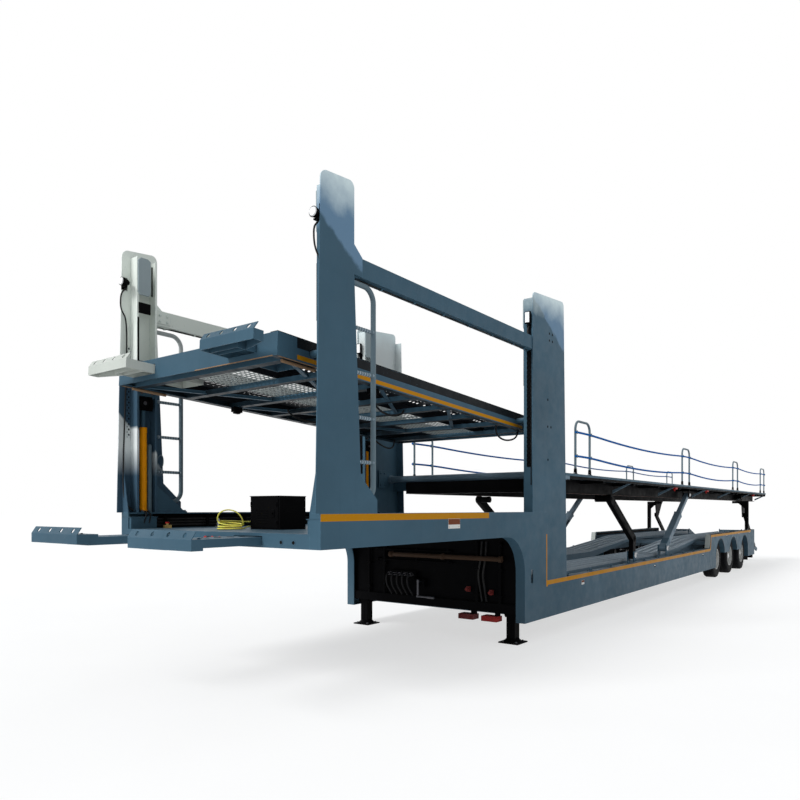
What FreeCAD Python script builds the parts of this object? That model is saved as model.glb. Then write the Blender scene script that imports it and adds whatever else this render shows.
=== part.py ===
import FreeCAD, Part
import math
import os

# Two-deck car-carrier semi-trailer standing on its landing legs, in millimetres.
# +X is forward, +Y is the trailer's left side, +Z is up and z = 0 is the ground.
# Lengths along the trailer are stations: distances behind the front edge of the
# front posts.  Distances across it are insets: how far inboard of the side plates.

# ---- whole trailer -------------------------------------------------------------
WIDTH = 2550.0
FRONT_REACH = 920.0          # front loading ramps' tips, ahead of the front posts
PLATE = 8.0                  # web and deck plate thickness
FLANGE = 12.0                # flange plate thickness
MOVING_GAP = 6.0             # between pieces that move against each other
WELD = 1.0                   # overlap of two joined pieces, and how far a cut runs over
RUNNER_GAP = 0.3             # between a slide and what it rests on
PIN_GAP = 0.05               # radial, between a pin and its bore
PIN_RADIUS = 30.0            # deck, arm, strut and leg pins

# ---- side frames ---------------------------------------------------------------
FLANGE_WIDTH = 110.0
NECK_BEAM_BOTTOM = 1195.0    # gooseneck beam
NECK_BEAM_TOP = 1455.0
NECK_FACE = 3180.0           # station of the neck's front face
NECK_RADIUS = 400.0
NECK_REAR = 3740.0           # station where the neck plate ends
BELLY_BOTTOM = 245.0         # lower main beam
BELLY_TOP = 670.0
COVER_LEAD = 880.0           # wheel cover's front, ahead of the first axle
COVER_SLANT = 70.0
COVER_TOP = 950.0
COVER_BOTTOM = 300.0         # behind the last wheel
PANEL_BOTTOM = 520.0         # between two wheel arches
TAIL_OVERHANG = 1280.0       # frame's end behind the last axle
NECK_SLOT = (3330.0, 670.0, 50.0, 150.0)   # station, height, width, length

# ---- wheels and axles ------------------------------------------------------------
AXLE_FIRST = 12500.0
AXLE_PITCH = 1310.0
AXLE_COUNT = 3
TYRE_RADIUS = 398.5
TYRE_WIDTH = 235.0
TYRE_INSET = 75.0            # tyre's outer wall inboard of the side plate
TYRE_BEAD = 25.0             # bead behind the outer wall
TYRE_SHOULDER = (12.0, 30.0) # fall and width of the tread's rounded edge
TYRE_WALL = 70.0             # from the tread to the widest part of the wall
TYRE_SEAT = 59.0             # from the bead to the widest part of the wall
RIM_RADIUS = 222.0
RIM_WALL = 16.0
RIM_EDGE = 6.0               # rim's outer edge behind the tyre's outer wall
HUB_STEP = 18.0              # hub cap's wall
BEAD_GAP = 0.3
ARCH_CLEARANCE = 26.5
AXLE_RADIUS = 64.0
AXLE_WALL = 14.0
SPINDLE_RADIUS = 42.0
HUB_RADIUS = 105.0
DRUM_RADIUS = 190.0
DRUM_DEPTH = 265.0           # from the tyre's outer wall to the drum's inner face
DRUM_CLEARANCE = 10.0
HUB_RECESS = 60.0            # a spindle's end behind the tyre's outer wall
DISH_DEPTH = 120.0           # wheel disc behind the tyre's outer wall
SPRING_LENGTH = 960.0
SPRING_HEIGHT = 55.0
SPRING_WIDTH = 80.0
SPRING_SEAT = 18.0           # height of the block between spring and axle
HANGER_LENGTH = 70.0

# ---- posts ---------------------------------------------------------------------
POST_DEPTH = 120.0           # across the trailer
POST_CORNER = 60.0
FRONT_POST_TOP = 3910.0
FRONT_POST_RISE = 40.0       # the top slopes up to the rear
FRONT_POST_LEAN = 50.0       # its foot stands this far ahead of its top
FRONT_POST_WIDTH_TOP = 365.0
FRONT_POST_WIDTH_BASE = 440.0
FLARE_TOP = 1740.0
FLARE_BOTTOM = 1560.0
FLARE_STATION = 640.0
POST_EAR = (95.0, 80.0)      # gusset over the top beam: length and rise
POST_GUSSET = 505.0          # height of the triangular plate across its front edge
NECK_POST_FRONT = 3370.0
NECK_POST_REAR = 4200.0
NECK_POST_SPREAD = 90.0      # its foot reaches this far behind its top
NECK_POST_TOP = 3890.0
NECK_POST_RISE = 75.0
GUIDE_SLOT = 170.0           # free width between a guide's two inner lips
GUIDE_WIDTH = 210.0          # along the trailer
GUIDE_WALL = 8.0
FRONT_GUIDE = 190.0          # station of a front guide's middle
NECK_GUIDE = 3495.0          # station of a neck guide's middle
TOP_BEAM_BOTTOM = 3255.0
TOP_BEAM_TOP = 3400.0
TOP_BEAM_WIDTH = 90.0
LADDER_TUBE = 21.0
LADDER_RUNG = 14.0
LADDER_STAND = 330.0         # from the guide's rear wall to the outer tube
LADDER_LOW = 1560.0
LADDER_HIGH = 3205.0
LADDER_BEND = 110.0
RUNG_FIRST = 1850.0
RUNG_PITCH = 340.0
RUNG_COUNT = 4

# ---- lift cylinders and carriages ----------------------------------------------
BARREL_RADIUS = 34.0
BARREL_BORE = 26.0
BARREL_LENGTH = 807.0
BARREL_END = 20.0            # closed bottom
GLAND_LENGTH = 30.0
ROD_RADIUS = 20.0
ROD_INSIDE = 210.0           # rod length left inside the barrel at rest
CYLINDER_INSET = 52.0
CARRIAGE_WIDTH = 182.0
CARRIAGE_PLATE = 14.0
CARRIAGE_ABOVE = 190.0       # pin to the underside of the carriage's bridge
CARRIAGE_BELOW = 110.0
CARRIAGE_BRIDGE = 40.0
CARRIAGE_REACH = 14.0        # bridge's end to the post's plate

# ---- front upper deck ------------------------------------------------------------
UPPER_TILT = 2.8             # nose up, degrees
UPPER_PIN_HEIGHT = 2492.0    # rear carriage pins above ground
UPPER_FRONT = -180.0         # station of the deck's front beam
UPPER_REAR = 3950.0
UPPER_INSET = 255.0          # side channels inboard of the side plates
CHANNEL_HEIGHT = 172.0
CHANNEL_WIDTH = 75.0
UPPER_CROSS_FIRST = -60.0
UPPER_CROSS_PITCH = 540.0
UPPER_CROSS_COUNT = 8
UPPER_CROSS_WIDTH = 70.0
UPPER_CROSS_HEIGHT = 45.0
TRACK_WIDTH = 620.0
TRACK_INSET = 345.0          # outer edge of a front deck wheel track
TRACK_PLATE = 6.0
TRACK_LIP = 8.0
TRACK_LIP_HEIGHT = 23.0
UPPER_TRACK_LEVEL = 131.0    # a track's underside above the channels' underside
CENTRE_PANEL = 4.0           # thickness of the sheet between the two tracks
SLOT_PLAY = 5.0              # around a front pin in its slot
SLOT_TRAVEL = 24.0

# ---- gooseneck deck, cabinet and kingpin -------------------------------------------
DECK_TOP = 1305.0
DECK_CROSS_FIRST = 420.0
DECK_CROSS_PITCH = 560.0
DECK_CROSS_COUNT = 5
CROSS_WIDTH = 80.0
CROSS_WALL = 6.0
CABINET = (620.0, 940.0, 190.0, 295.0)     # front and rear station, half width, height
CABINET_WALL = 4.0
KINGPIN_STATION = 1300.0
KINGPIN_PLATE_LENGTH = 900.0
KINGPIN_LEVELS = ((36.5, 35.0), (25.4, 35.0), (35.7, 14.0))   # radius and length, downwards

# ---- supply lead, which lies on the gooseneck deck -----------------------------------
LEAD_RADIUS = 6.0
LEAD_EXIT = (862.0, 62.0)    # station and height above the deck
LEAD_GLAND = (16.0, 9.0, 30.0)             # radii and length, on the cabinet's side
LEAD_BEND = 0.45             # a bend's reach along the shorter of its two runs
LEAD_COIL = (450.0, 1540.0)  # station and inset of its middle
LEAD_COIL_RADII = (82.0, 135.0)
LEAD_COIL_HEIGHT = 84.0
LEAD_PLUG = (20.0, 85.0)     # radius and length
LEAD_PLUG_GRIP = (14.0, 30.0)              # the plug's narrow end, round the lead
# Each run's points: station, inset and height above the deck, chosen by hand.
LEAD_TAIL = ((862.0, 1530.0, 62.0), (849.0, 1576.0, 62.0), (812.0, 1609.0, 62.0), (758.0, 1629.0, 63.0),
             (700.0, 1641.0, 65.0), (642.0, 1648.0, 69.0), (584.0, 1660.0, 71.0), (528.0, 1664.0, 73.0),
             (480.0, 1648.0, 74.0))
LEAD_LOOP = ((397.0, 1645.0, 66.0), (377.0, 1633.0, 100.0), (374.0, 1598.0, 152.0), (411.0, 1545.0, 180.0),
             (466.0, 1492.0, 167.0), (507.0, 1455.0, 116.0), (526.0, 1452.0, 52.0))
LEAD_END = ((492.0, 1424.0, 10.0), (542.0, 1447.0, 13.0), (588.0, 1488.0, 18.0), (634.0, 1522.0, 21.0),
            (682.0, 1536.0, 20.0), (726.0, 1536.0, 20.0))

# ---- neck bulkhead and landing legs --------------------------------------------------
BULKHEAD_STATION = 3240.0
BULKHEAD_BOTTOM = 330.0
BULKHEAD_RAIL = 40.0
LOCK_BARS = ((330.0, 50.0, 190.0), (630.0, 60.0, 190.0))      # inset, bar width, block width
LEG_SLEEVE = 130.0
LEG_WALL = 12.0
LEG_SIDE_INSET = 150.0
LEG_FOOT_SIZE = 240.0
LEG_FOOT_PLATE = 14.0
LEG_SKIRT = 46.0
LEG_LIFT = 40.0              # sleeve above the belly's underside, inner leg above ground
LEG_OVERLAP = 200.0
BULKHEAD_LOW_RAIL = 100.0
BULKHEAD_HIGH_RAIL = 60.0
LOCK_DROP = 40.0             # lock bars below the bulkhead
LOCK_BLOCK = (60.0, 55.0)    # a block's reach ahead of its bar and height below it

# ---- front ramps ---------------------------------------------------------------------
RAMP_WALL = 8.0
RAMP_GAP = 8.0               # around a ramp in its window
RAMP_TIP_LENGTH = 90.0
RAMP_NECK_LENGTH = 80.0      # from the wide tip to the straight arm
LIP_LEAN = 35.0
LIP_RISE = 52.0
LIP_HOLE = 17.0
LIP_HOLES = 4
LOWER_RAMP_OUTER = 228.0     # insets of a lower ramp's tip
LOWER_RAMP_INNER = 935.0
LOWER_ARM_OUTER = 620.0      # inset of its arm's outer edge
LOWER_ARM_TAIL = 850.0       # station of the arm's hidden end
LOWER_ARM_HEIGHT = 62.0
LOWER_TIP_RAISE = 10.0       # the tip tray's underside above the arm's
LOWER_TIP_HEIGHT = 74.0
ARM_HOLE = 28.0
ARM_HOLE_FIRST = 170.0       # from the neck to the first round hole
ARM_HOLE_PITCH = 105.0
ARM_HOLES = 5
UPPER_RAMP_REACH = 260.0
UPPER_RAMP_OUTER = 209.0
UPPER_RAMP_INNER = 795.0
UPPER_ARM_OUTER = 480.0
UPPER_ARM_TAIL = 500.0       # behind the deck's front beam
UPPER_ARM_HEIGHT = 75.0
UPPER_RAMP_PULL = 200.0      # travel outwards

# ---- lower deck ------------------------------------------------------------------------
LOWER_TRACK_INSET = 330.0
LOWER_TRACK_WIDTH = 560.0
LOWER_TRACK_FRONT = 3800.0
TRACK_RIB = 14.0
TRACK_RIBS = 5
TRACK_RIB_HEIGHT = 30.0
TRACK_DROP = 10.0            # tracks' underside below the belly beam's top
WHEEL_DECK = 850.0           # underside of the tracks over the axles
TRACK_RISE = 2500.0          # length of the climb to the deck over the axles
TRACK_RISE_BACK = 180.0      # its end behind the covers' front
RAIL_WIDTH = 12.0
RAIL_DEPTH = 120.0
RAIL_DEPTH_REAR = 45.0
LOWER_CROSS_FIRST = 3580.0
LOWER_CROSS_PITCH = 900.0
BOGIE_RAIL_INSET = 420.0
BOGIE_RAIL_WIDTH = 90.0
BOGIE_RAIL_HEIGHT = 216.0
BOGIE_CROSS_HEIGHT = 76.0
BUMPER_LOW = 205.0
BUMPER_HEIGHT = 110.0
BUMPER_DEPTH = 90.0
BUMPER_INSET = 60.0
TAIL_RISE = 40.0             # tail member above the covers' underside
BUMPER_ARM = (320.0, 80.0, 295.0)          # inset, width and height above the bar
REST_POST = (750.0, 80.0, 15.0)            # ahead of the frame's end, width and inset
REST_HEAD = 60.0

# ---- rear upper deck -------------------------------------------------------------
REAR_DECK_LEAD = 140.0       # deck's front ahead of the neck posts' rear edge
REAR_DECK_OVERHANG = 1750.0  # deck's end behind the frame's end
REAR_DECK_TOP = 1925.0
REAR_EDGE_DROP = 40.0        # main beams' top below the edge beams' top
REAR_BEAM_HEIGHT = 190.0
REAR_BEAM_INSET = 300.0
REAR_BEAM_WIDTH = 90.0
REAR_CROSS_PITCH = 1150.0
REAR_CROSS_HEIGHT = 50.0
REAR_TRACK_INSET = 405.0
EDGE_INSET = 12.0
EDGE_WIDTH = 40.0
EDGE_HEIGHT = 60.0
HINGE_LEAD = 5.0             # hinge ahead of the neck posts' rear edge
HINGE_HEIGHT = 1800.0
HINGE_BLOCK = (45.0, 60.0)   # half length and half height of the block on the neck post
HINGE_COLLAR = 45.0
# Each hoop's place as a share of the walkway's length, and its width.
HOOPS = ((0.0245, 470.0), (0.3795, 490.0), (0.6934, 530.0), (0.9495, 560.0))
HOOP_HEIGHT = 670.0
HOOP_TUBE = 15.0
HOOP_CORNER = 110.0

# ---- arms, struts and folding legs -------------------------------------------------
CHEEK = 14.0                 # pin cheek thickness
ARM_FOOT = (7230.0, 760.0)   # station and height of a bent arm's foot pin
ARM_KNEE = (7270.0, 1020.0)
ARM_TOP = (6240.0, 1640.0)
ARM_INSET = 150.0
ARM_THICK = 70.0
ARM_WIDTH = 120.0
ARM_ROLLER = 50.0
STRUT_FOOT = (8960.0, 790.0)
STRUT_EYE = (10540.0, 1760.0)
STRUT_INSET = 150.0
STRUT_SIZE = 110.0
STRUT_WALL = 12.0
STRUT_BARREL = 1150.0
STRUT_OVERLAP = 420.0
STRUT_ROD = 76.0
STRUT_COLLAR = 30.0
BRACKET_BASE = (620.0, 21.0) # underside and thickness of the foot brackets' base
LEG_PIN_PLACE = (450.0, 1330.0)            # ahead of the frame's end, height
LEG_REACH = (1270.0, 830.0)  # a folding leg's run and fall
LEG_INSET = 130.0
LEG_THICK = 50.0
LEG_WIDTH = 110.0
BRACKET_NOSE = 60.0          # bracket plate below and beside the leg's pin
BRACKET_LENGTH = (230.0, 750.0)            # reach ahead of the pin and behind it
BRACKET_CORNER = 420.0       # station behind the pin where its edge meets the beam

# ---- rear loading ramps --------------------------------------------------------------
REAR_RAMP_PIN_PLACE = (160.0, 880.0)       # behind the frame's end, height
REAR_RAMP_LENGTH = 2302.5
REAR_RAMP_SLOPE = 15.0
REAR_RAMP_WIDTH = 560.0
REAR_RAMP_INSET = 330.0
REAR_RAMP_DEPTH = 120.0
REAR_RAMP_RAIL = 12.0
RAMP_PIN_RADIUS = 24.0
RUNG_SIZE = 40.0
RAMP_RUNGS = 16
LUG_INSET = 40.0             # from a ramp's side to the lug beside it

SIDES = (("left", 1.0), ("right", -1.0))
RAMP_HEAD = RAMP_TIP_LENGTH + RAMP_NECK_LENGTH         # a ramp's part that stays outside
LOWER_RAMP_STROKE = FRONT_REACH - RAMP_HEAD - MOVING_GAP
UPPER_RAMP_STROKE = UPPER_RAMP_REACH - RAMP_HEAD - MOVING_GAP
HALF = WIDTH / 2
AXLE_LAST = AXLE_FIRST + AXLE_PITCH * (AXLE_COUNT - 1)
FRAME_END = AXLE_LAST + TAIL_OVERHANG
COVER_START = AXLE_FIRST - COVER_LEAD
TRACK_RISE_END = COVER_START + TRACK_RISE_BACK
TRACK_RISE_START = TRACK_RISE_END - TRACK_RISE
REAR_DECK_FRONT = NECK_POST_REAR - REAR_DECK_LEAD
REAR_DECK_SIDE_FRONT = NECK_POST_REAR + NECK_POST_SPREAD       # where its outboard parts begin
REAR_DECK_END = FRAME_END + REAR_DECK_OVERHANG
HINGE_STATION = NECK_POST_REAR - HINGE_LEAD
LEG_PIN = (FRAME_END - LEG_PIN_PLACE[0], LEG_PIN_PLACE[1])
LEG_FOOT = (LEG_PIN[0] + LEG_REACH[0], LEG_PIN[1] - LEG_REACH[1])
REAR_RAMP_PIN = (FRAME_END + REAR_RAMP_PIN_PLACE[0], REAR_RAMP_PIN_PLACE[1])
SLOPE = math.radians(REAR_RAMP_SLOPE)
REAR_REACH = REAR_RAMP_PIN[0] + REAR_RAMP_LENGTH * math.cos(SLOPE) + REAR_RAMP_DEPTH / 2 * math.sin(SLOPE)
X_POST = (REAR_REACH - FRONT_REACH) / 2
HUB_HEIGHT = TYRE_RADIUS
ARCH_RADIUS = TYRE_RADIUS + ARCH_CLEARANCE
FLANGE_HALF = HALF - FLANGE_WIDTH          # half width between the side frames' flanges
WEB_HALF = HALF - PLATE                    # half width between the side frames' webs
CARRIAGE_INNER = POST_DEPTH - GUIDE_WALL - MOVING_GAP
LADDER_INSET = PLATE + RUNNER_GAP + LADDER_TUBE
ARM_LEVEL = NECK_BEAM_BOTTOM + FLANGE + MOVING_GAP     # underside of the lower ramps' arms
REAR_BEAM_TOP = REAR_DECK_TOP - REAR_EDGE_DROP
REAR_BEAM_LOW = REAR_BEAM_TOP - REAR_BEAM_HEIGHT
SADDLE_TOP = REAR_BEAM_TOP - REAR_CROSS_HEIGHT         # underside of the rear cross members
HALF_SQUARE = math.sqrt(0.5)
V = FreeCAD.Vector
ACROSS = V(0, 1, 0)


def x_at(station):
    return X_POST - station


def y_at(inset):
    return HALF - inset


def box(s0, s1, t0, t1, z0, z1):
    """A block between two stations, two insets of the left side and two heights."""
    return Part.makeBox(s1 - s0, t1 - t0, z1 - z0, V(x_at(s1), y_at(t1), z0))


def across(s0, s1, z0, z1, half_width):
    """A block that runs from side to side, centred."""
    return Part.makeBox(s1 - s0, 2 * half_width, z1 - z0, V(x_at(s1), -half_width, z0))


def cross_channel(station, z0, z1, half_width, width=CROSS_WIDTH, wall=CROSS_WALL):
    """A cross member: a channel that opens to the rear."""
    outer = across(station, station + width, z0, z1, half_width)
    room = across(station + wall, station + width + WELD, z0 + wall, z1 - wall, half_width + WELD)
    return outer.cut(room)


def cross_box(s0, s1, z0, z1, half_width, wall=CROSS_WALL):
    """A square tube from side to side, open at its ends."""
    room = across(s0 + wall, s1 - wall, z0 + wall, z1 - wall, half_width + WELD)
    return across(s0, s1, z0, z1, half_width).cut(room)


def rod_x(inset, z, radius, s0, s1):
    """A round bar along the left half, between two stations."""
    return Part.makeCylinder(radius, s1 - s0, V(x_at(s1), y_at(inset), z), V(1, 0, 0))


def rod_y(station, z, radius, t0, t1):
    """A round bar across the left half, between two insets."""
    return Part.makeCylinder(radius, t1 - t0, V(x_at(station), y_at(t1), z), ACROSS)


def rod_z(station, inset, radius, z0, z1):
    """An upright round bar."""
    return Part.makeCylinder(radius, z1 - z0, V(x_at(station), y_at(inset), z0))


def mirrored(shape):
    return shape.mirror(V(0, 0, 0), ACROSS)


def on_side(shape, side):
    return shape if side > 0 else mirrored(shape)


def both(shape):
    return [shape, mirrored(shape)]


def joined(shapes):
    """One shape from pieces that touch or overlap."""
    result = shapes[0].multiFuse(shapes[1:]) if len(shapes) > 1 else shapes[0]
    return result.removeSplitter()


def apart(shapes):
    """One shape from pieces that stay clear of each other."""
    solids = []
    for shape in shapes:
        solids.extend(shape.Solids)
    return Part.makeCompound(solids)


def side_face(points, t):
    """A flat face in the plane of inset t, from (station, height) corners.

    An item ("arc", middle, end) draws an arc from the corner before it.
    """
    def at(corner):
        return V(x_at(corner[0]), y_at(t), corner[1])
    edges = []
    here = at(points[0])
    for item in points[1:] + [points[0]]:
        if item[0] == "arc":
            end = at(item[2])
            edges.append(Part.Arc(here, at(item[1]), end).toShape())
        else:
            end = at(item)
            edges.append(Part.LineSegment(here, end).toShape())
        here = end
    return Part.Face(Part.Wire(edges))


def side_prism(points, t0, t1):
    return side_face(points, t0).extrude(V(0, t0 - t1, 0))


def plan_face(points, z):
    """A level face from (station, inset) corners of the left side."""
    corners = [V(x_at(s), y_at(t), z) for s, t in points]
    return Part.Face(Part.makePolygon(corners + corners[:1]))


def plan_prism(points, z0, z1):
    return plan_face(points, z0).extrude(V(0, 0, z1 - z0))


def tray(points, z0, z1, wall):
    """An upturned tray: a top plate with skirts along its whole edge."""
    outline = plan_face(points, z0 - WELD)
    room = Part.Face(outline.OuterWire.makeOffset2D(-wall))
    return plan_prism(points, z0, z1).cut(room.extrude(V(0, 0, z1 - z0 - wall + WELD)))


def slack_bend(before, corner, after):
    """The arc radius of a slack lead at a corner of its route."""
    shorter = min((before - corner).Length, (after - corner).Length)
    half_turn = (corner - before).getAngle(after - corner) / 2
    return LEAD_BEND * shorter / math.tan(half_turn)


def tube_path(corners, radius, bend=None):
    """A round bar along straight runs with tangent arcs of one radius, or else slack ones."""
    edges = []
    start = corners[0]
    for before, corner, after in zip(corners, corners[1:], corners[2:]):
        to_start = (before - corner).normalize()
        to_end = (after - corner).normalize()
        half_angle = to_start.getAngle(to_end) / 2
        arc = bend or slack_bend(before, corner, after)
        back = arc / math.tan(half_angle)
        first = corner + to_start * back
        last = corner + to_end * back
        bisector = (to_start + to_end).normalize()
        middle = corner + bisector * (arc / math.sin(half_angle) - arc)
        edges.append(Part.LineSegment(start, first).toShape())
        edges.append(Part.Arc(first, middle, last).toShape())
        start = last
    edges.append(Part.LineSegment(start, corners[-1]).toShape())
    path = Part.Wire(edges)
    direction = (corners[1] - corners[0]).normalize()
    section = Part.Wire(Part.Circle(corners[0], direction, radius).toShape())
    return path.makePipeShell([section], True, False)


# ---- side frames ------------------------------------------------------------------

def axle_stations():
    return [AXLE_FIRST + AXLE_PITCH * index for index in range(AXLE_COUNT)]


def frame_outline():
    """The side plate: gooseneck, neck, belly beam and the cover over the arches."""
    bend = HALF_SQUARE * NECK_RADIUS
    corner = NECK_FACE - NECK_RADIUS
    low = NECK_BEAM_BOTTOM - NECK_RADIUS
    points = [(0.0, NECK_BEAM_BOTTOM), (corner, NECK_BEAM_BOTTOM),
              ("arc", (corner + bend, low + bend), (NECK_FACE, low)), (NECK_FACE, BELLY_BOTTOM)]
    stations = axle_stations()
    reach = math.sqrt(ARCH_RADIUS ** 2 - (PANEL_BOTTOM - HUB_HEIGHT) ** 2)
    for station in stations:
        crown = (station, HUB_HEIGHT + ARCH_RADIUS)
        if station == stations[0]:
            points.append((station - ARCH_RADIUS, BELLY_BOTTOM))
            points.append((station - ARCH_RADIUS, HUB_HEIGHT))
        else:
            points.append((station - reach, PANEL_BOTTOM))
        if station == stations[-1]:
            points.append(("arc", crown, (station + ARCH_RADIUS, HUB_HEIGHT)))
            points.append((station + ARCH_RADIUS, COVER_BOTTOM))
        else:
            points.append(("arc", crown, (station + reach, PANEL_BOTTOM)))
    points += [(FRAME_END, COVER_BOTTOM), (FRAME_END, COVER_TOP),
               (COVER_START, COVER_TOP), (COVER_START - COVER_SLANT, BELLY_TOP),
               (NECK_REAR, BELLY_TOP), (NECK_REAR, NECK_BEAM_TOP), (0.0, NECK_BEAM_TOP)]
    return points


def side_frame():
    """A channel: the outer web with a flange along its whole edge."""
    outer = side_face(frame_outline(), 0.0)
    inner = side_face(frame_outline(), PLATE)
    inner = Part.Face(inner.OuterWire.makeOffset2D(-FLANGE))
    body = outer.extrude(V(0, -FLANGE_WIDTH, 0))
    hollow = inner.extrude(V(0, PLATE - FLANGE_WIDTH - WELD, 0))
    station, height, width, length = NECK_SLOT
    slot = box(station, station + width, -WELD, PLATE + WELD, height, height + length)
    return body.cut(hollow).cut(slot)


# ---- posts ------------------------------------------------------------------------

def guide(middle, z0, z1):
    """A vertical channel that opens inboard between two lips."""
    s0 = middle - GUIDE_WIDTH / 2
    s1 = middle + GUIDE_WIDTH / 2
    outer = box(s0, s1, PLATE, POST_DEPTH, z0, z1)
    room = box(s0 + GUIDE_WALL, s1 - GUIDE_WALL, PLATE - WELD, POST_DEPTH - GUIDE_WALL, z0 - WELD, z1 + WELD)
    slot = box(middle - GUIDE_SLOT / 2, middle + GUIDE_SLOT / 2, POST_DEPTH - GUIDE_WALL - WELD,
               POST_DEPTH + WELD, z0 - WELD, z1 + WELD)
    return outer.cut(room).cut(slot)


def rounded_top(front, rear, z_front, rise):
    """A post's sloping top with both corners rounded, from front to rear."""
    corner = POST_CORNER
    bend = corner * (1 - HALF_SQUARE)
    climb = rise * corner / (rear - front)
    z_rear = z_front + rise
    return [(front, z_front - corner),
            ("arc", (front + bend, z_front - bend), (front + corner, z_front + climb)),
            (rear - corner, z_rear - climb),
            ("arc", (rear - bend, z_rear - bend), (rear, z_rear - corner))]


def front_triangle(station, t0, t1, z, height):
    """An upright triangular plate across a post's front edge."""
    corners = [V(x_at(station), y_at(t), h) for t, h in ((t0, z), (t1, z), (t0, z + height))]
    face = Part.Face(Part.makePolygon(corners + corners[:1]))
    return face.extrude(V(-PLATE, 0, 0))


def front_post():
    top = rounded_top(0.0, FRONT_POST_WIDTH_TOP, FRONT_POST_TOP, FRONT_POST_RISE)
    length, rise = POST_EAR
    ear = FRONT_POST_WIDTH_TOP + length
    outline = [(-FRONT_POST_LEAN, NECK_BEAM_TOP)] + top
    outline += [(FRONT_POST_WIDTH_TOP, TOP_BEAM_TOP + rise), (ear, TOP_BEAM_TOP),
                (ear, TOP_BEAM_BOTTOM), (FRONT_POST_WIDTH_TOP, TOP_BEAM_BOTTOM),
                (FRONT_POST_WIDTH_BASE, FLARE_TOP), (FLARE_STATION, FLARE_BOTTOM),
                (FLARE_STATION, NECK_BEAM_TOP)]
    plate = side_prism(outline, 0.0, PLATE)
    channel = guide(FRONT_GUIDE, NECK_BEAM_TOP, FRONT_POST_TOP - POST_CORNER)
    foot = box(FRONT_GUIDE + GUIDE_WIDTH / 2, FLARE_STATION, PLATE, FLANGE_WIDTH,
               NECK_BEAM_TOP, NECK_BEAM_TOP + FLANGE)
    gusset = front_triangle(0.0, PLATE - WELD, FLANGE_WIDTH, NECK_BEAM_TOP, POST_GUSSET)
    return joined([plate, channel, foot, gusset])


def neck_rear_station(z):
    """Station of the neck post's sloping rear edge at a height."""
    top = NECK_POST_TOP + NECK_POST_RISE - POST_CORNER
    return NECK_POST_REAR + NECK_POST_SPREAD * (top - z) / (top - BELLY_TOP)


def neck_post():
    """The post on the neck, with its guide, rear flange and the rear deck's hinge pin."""
    top = rounded_top(NECK_POST_FRONT, NECK_POST_REAR, NECK_POST_TOP, NECK_POST_RISE)
    outline = [(NECK_POST_FRONT, NECK_BEAM_TOP)] + top
    outline += [(neck_rear_station(BELLY_TOP), BELLY_TOP), (NECK_REAR, BELLY_TOP),
                (NECK_REAR, NECK_BEAM_TOP)]
    plate = side_prism(outline, 0.0, PLATE)
    channel = guide(NECK_GUIDE, NECK_BEAM_TOP, NECK_POST_TOP - POST_CORNER)
    crest = NECK_POST_TOP - POST_CORNER
    low_edge = neck_rear_station(BELLY_TOP)
    high_edge = neck_rear_station(crest)
    flange = side_prism([(low_edge - FLANGE, BELLY_TOP), (low_edge, BELLY_TOP),
                         (high_edge, crest), (high_edge - FLANGE, crest)], PLATE, FLANGE_WIDTH)
    half_length, half_height = HINGE_BLOCK
    web = hinge_web_inset()
    block_end = neck_rear_station(HINGE_HEIGHT) - FLANGE / 2
    block = box(HINGE_STATION - half_length, block_end, PLATE, web[0] - MOVING_GAP,
                HINGE_HEIGHT - half_height, HINGE_HEIGHT + half_height)
    pin = rod_y(HINGE_STATION, HINGE_HEIGHT, PIN_RADIUS, web[0] - MOVING_GAP - WELD,
                web[1] + MOVING_GAP + WELD)
    collar = rod_y(HINGE_STATION, HINGE_HEIGHT, HINGE_COLLAR, web[1] + MOVING_GAP,
                   web[1] + MOVING_GAP + PLATE)
    return joined([plate, channel, flange, block, pin, collar])


def top_beams():
    """Square tubes that tie each side's two posts together."""
    s0 = FRONT_GUIDE + GUIDE_WIDTH / 2
    s1 = NECK_GUIDE - GUIDE_WIDTH / 2
    outer = box(s0, s1, PLATE, PLATE + TOP_BEAM_WIDTH, TOP_BEAM_BOTTOM, TOP_BEAM_TOP)
    inner = box(s0 - WELD, s1 + WELD, 2 * PLATE, TOP_BEAM_WIDTH, TOP_BEAM_BOTTOM + PLATE,
                TOP_BEAM_TOP - PLATE)
    return apart(both(outer.cut(inner)))


def ladders():
    """A bent tube stood off behind each front post, with its rungs."""
    post = FRONT_GUIDE + GUIDE_WIDTH / 2
    stand = post + LADDER_STAND
    corners = [V(x_at(s), y_at(LADDER_INSET), z)
               for s, z in ((post, LADDER_HIGH), (stand, LADDER_HIGH), (stand, LADDER_LOW),
                            (post, LADDER_LOW))]
    pieces = [tube_path(corners, LADDER_TUBE, LADDER_BEND)]
    for index in range(RUNG_COUNT):
        start = V(x_at(stand), y_at(LADDER_INSET), RUNG_FIRST + index * RUNG_PITCH)
        pieces.append(Part.makeCylinder(LADDER_RUNG, LADDER_STAND, start, V(1, 0, 0)))
    return apart(both(joined(pieces)))


# ---- gooseneck --------------------------------------------------------------------

def arm_windows(s0, s1):
    """The free spaces that the lower ramps' arms slide through."""
    room = box(s0, s1, LOWER_ARM_OUTER - RAMP_GAP, LOWER_RAMP_INNER + RAMP_GAP,
               ARM_LEVEL - RUNNER_GAP, ARM_LEVEL + LOWER_ARM_HEIGHT + RAMP_GAP)
    return both(room)


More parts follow.
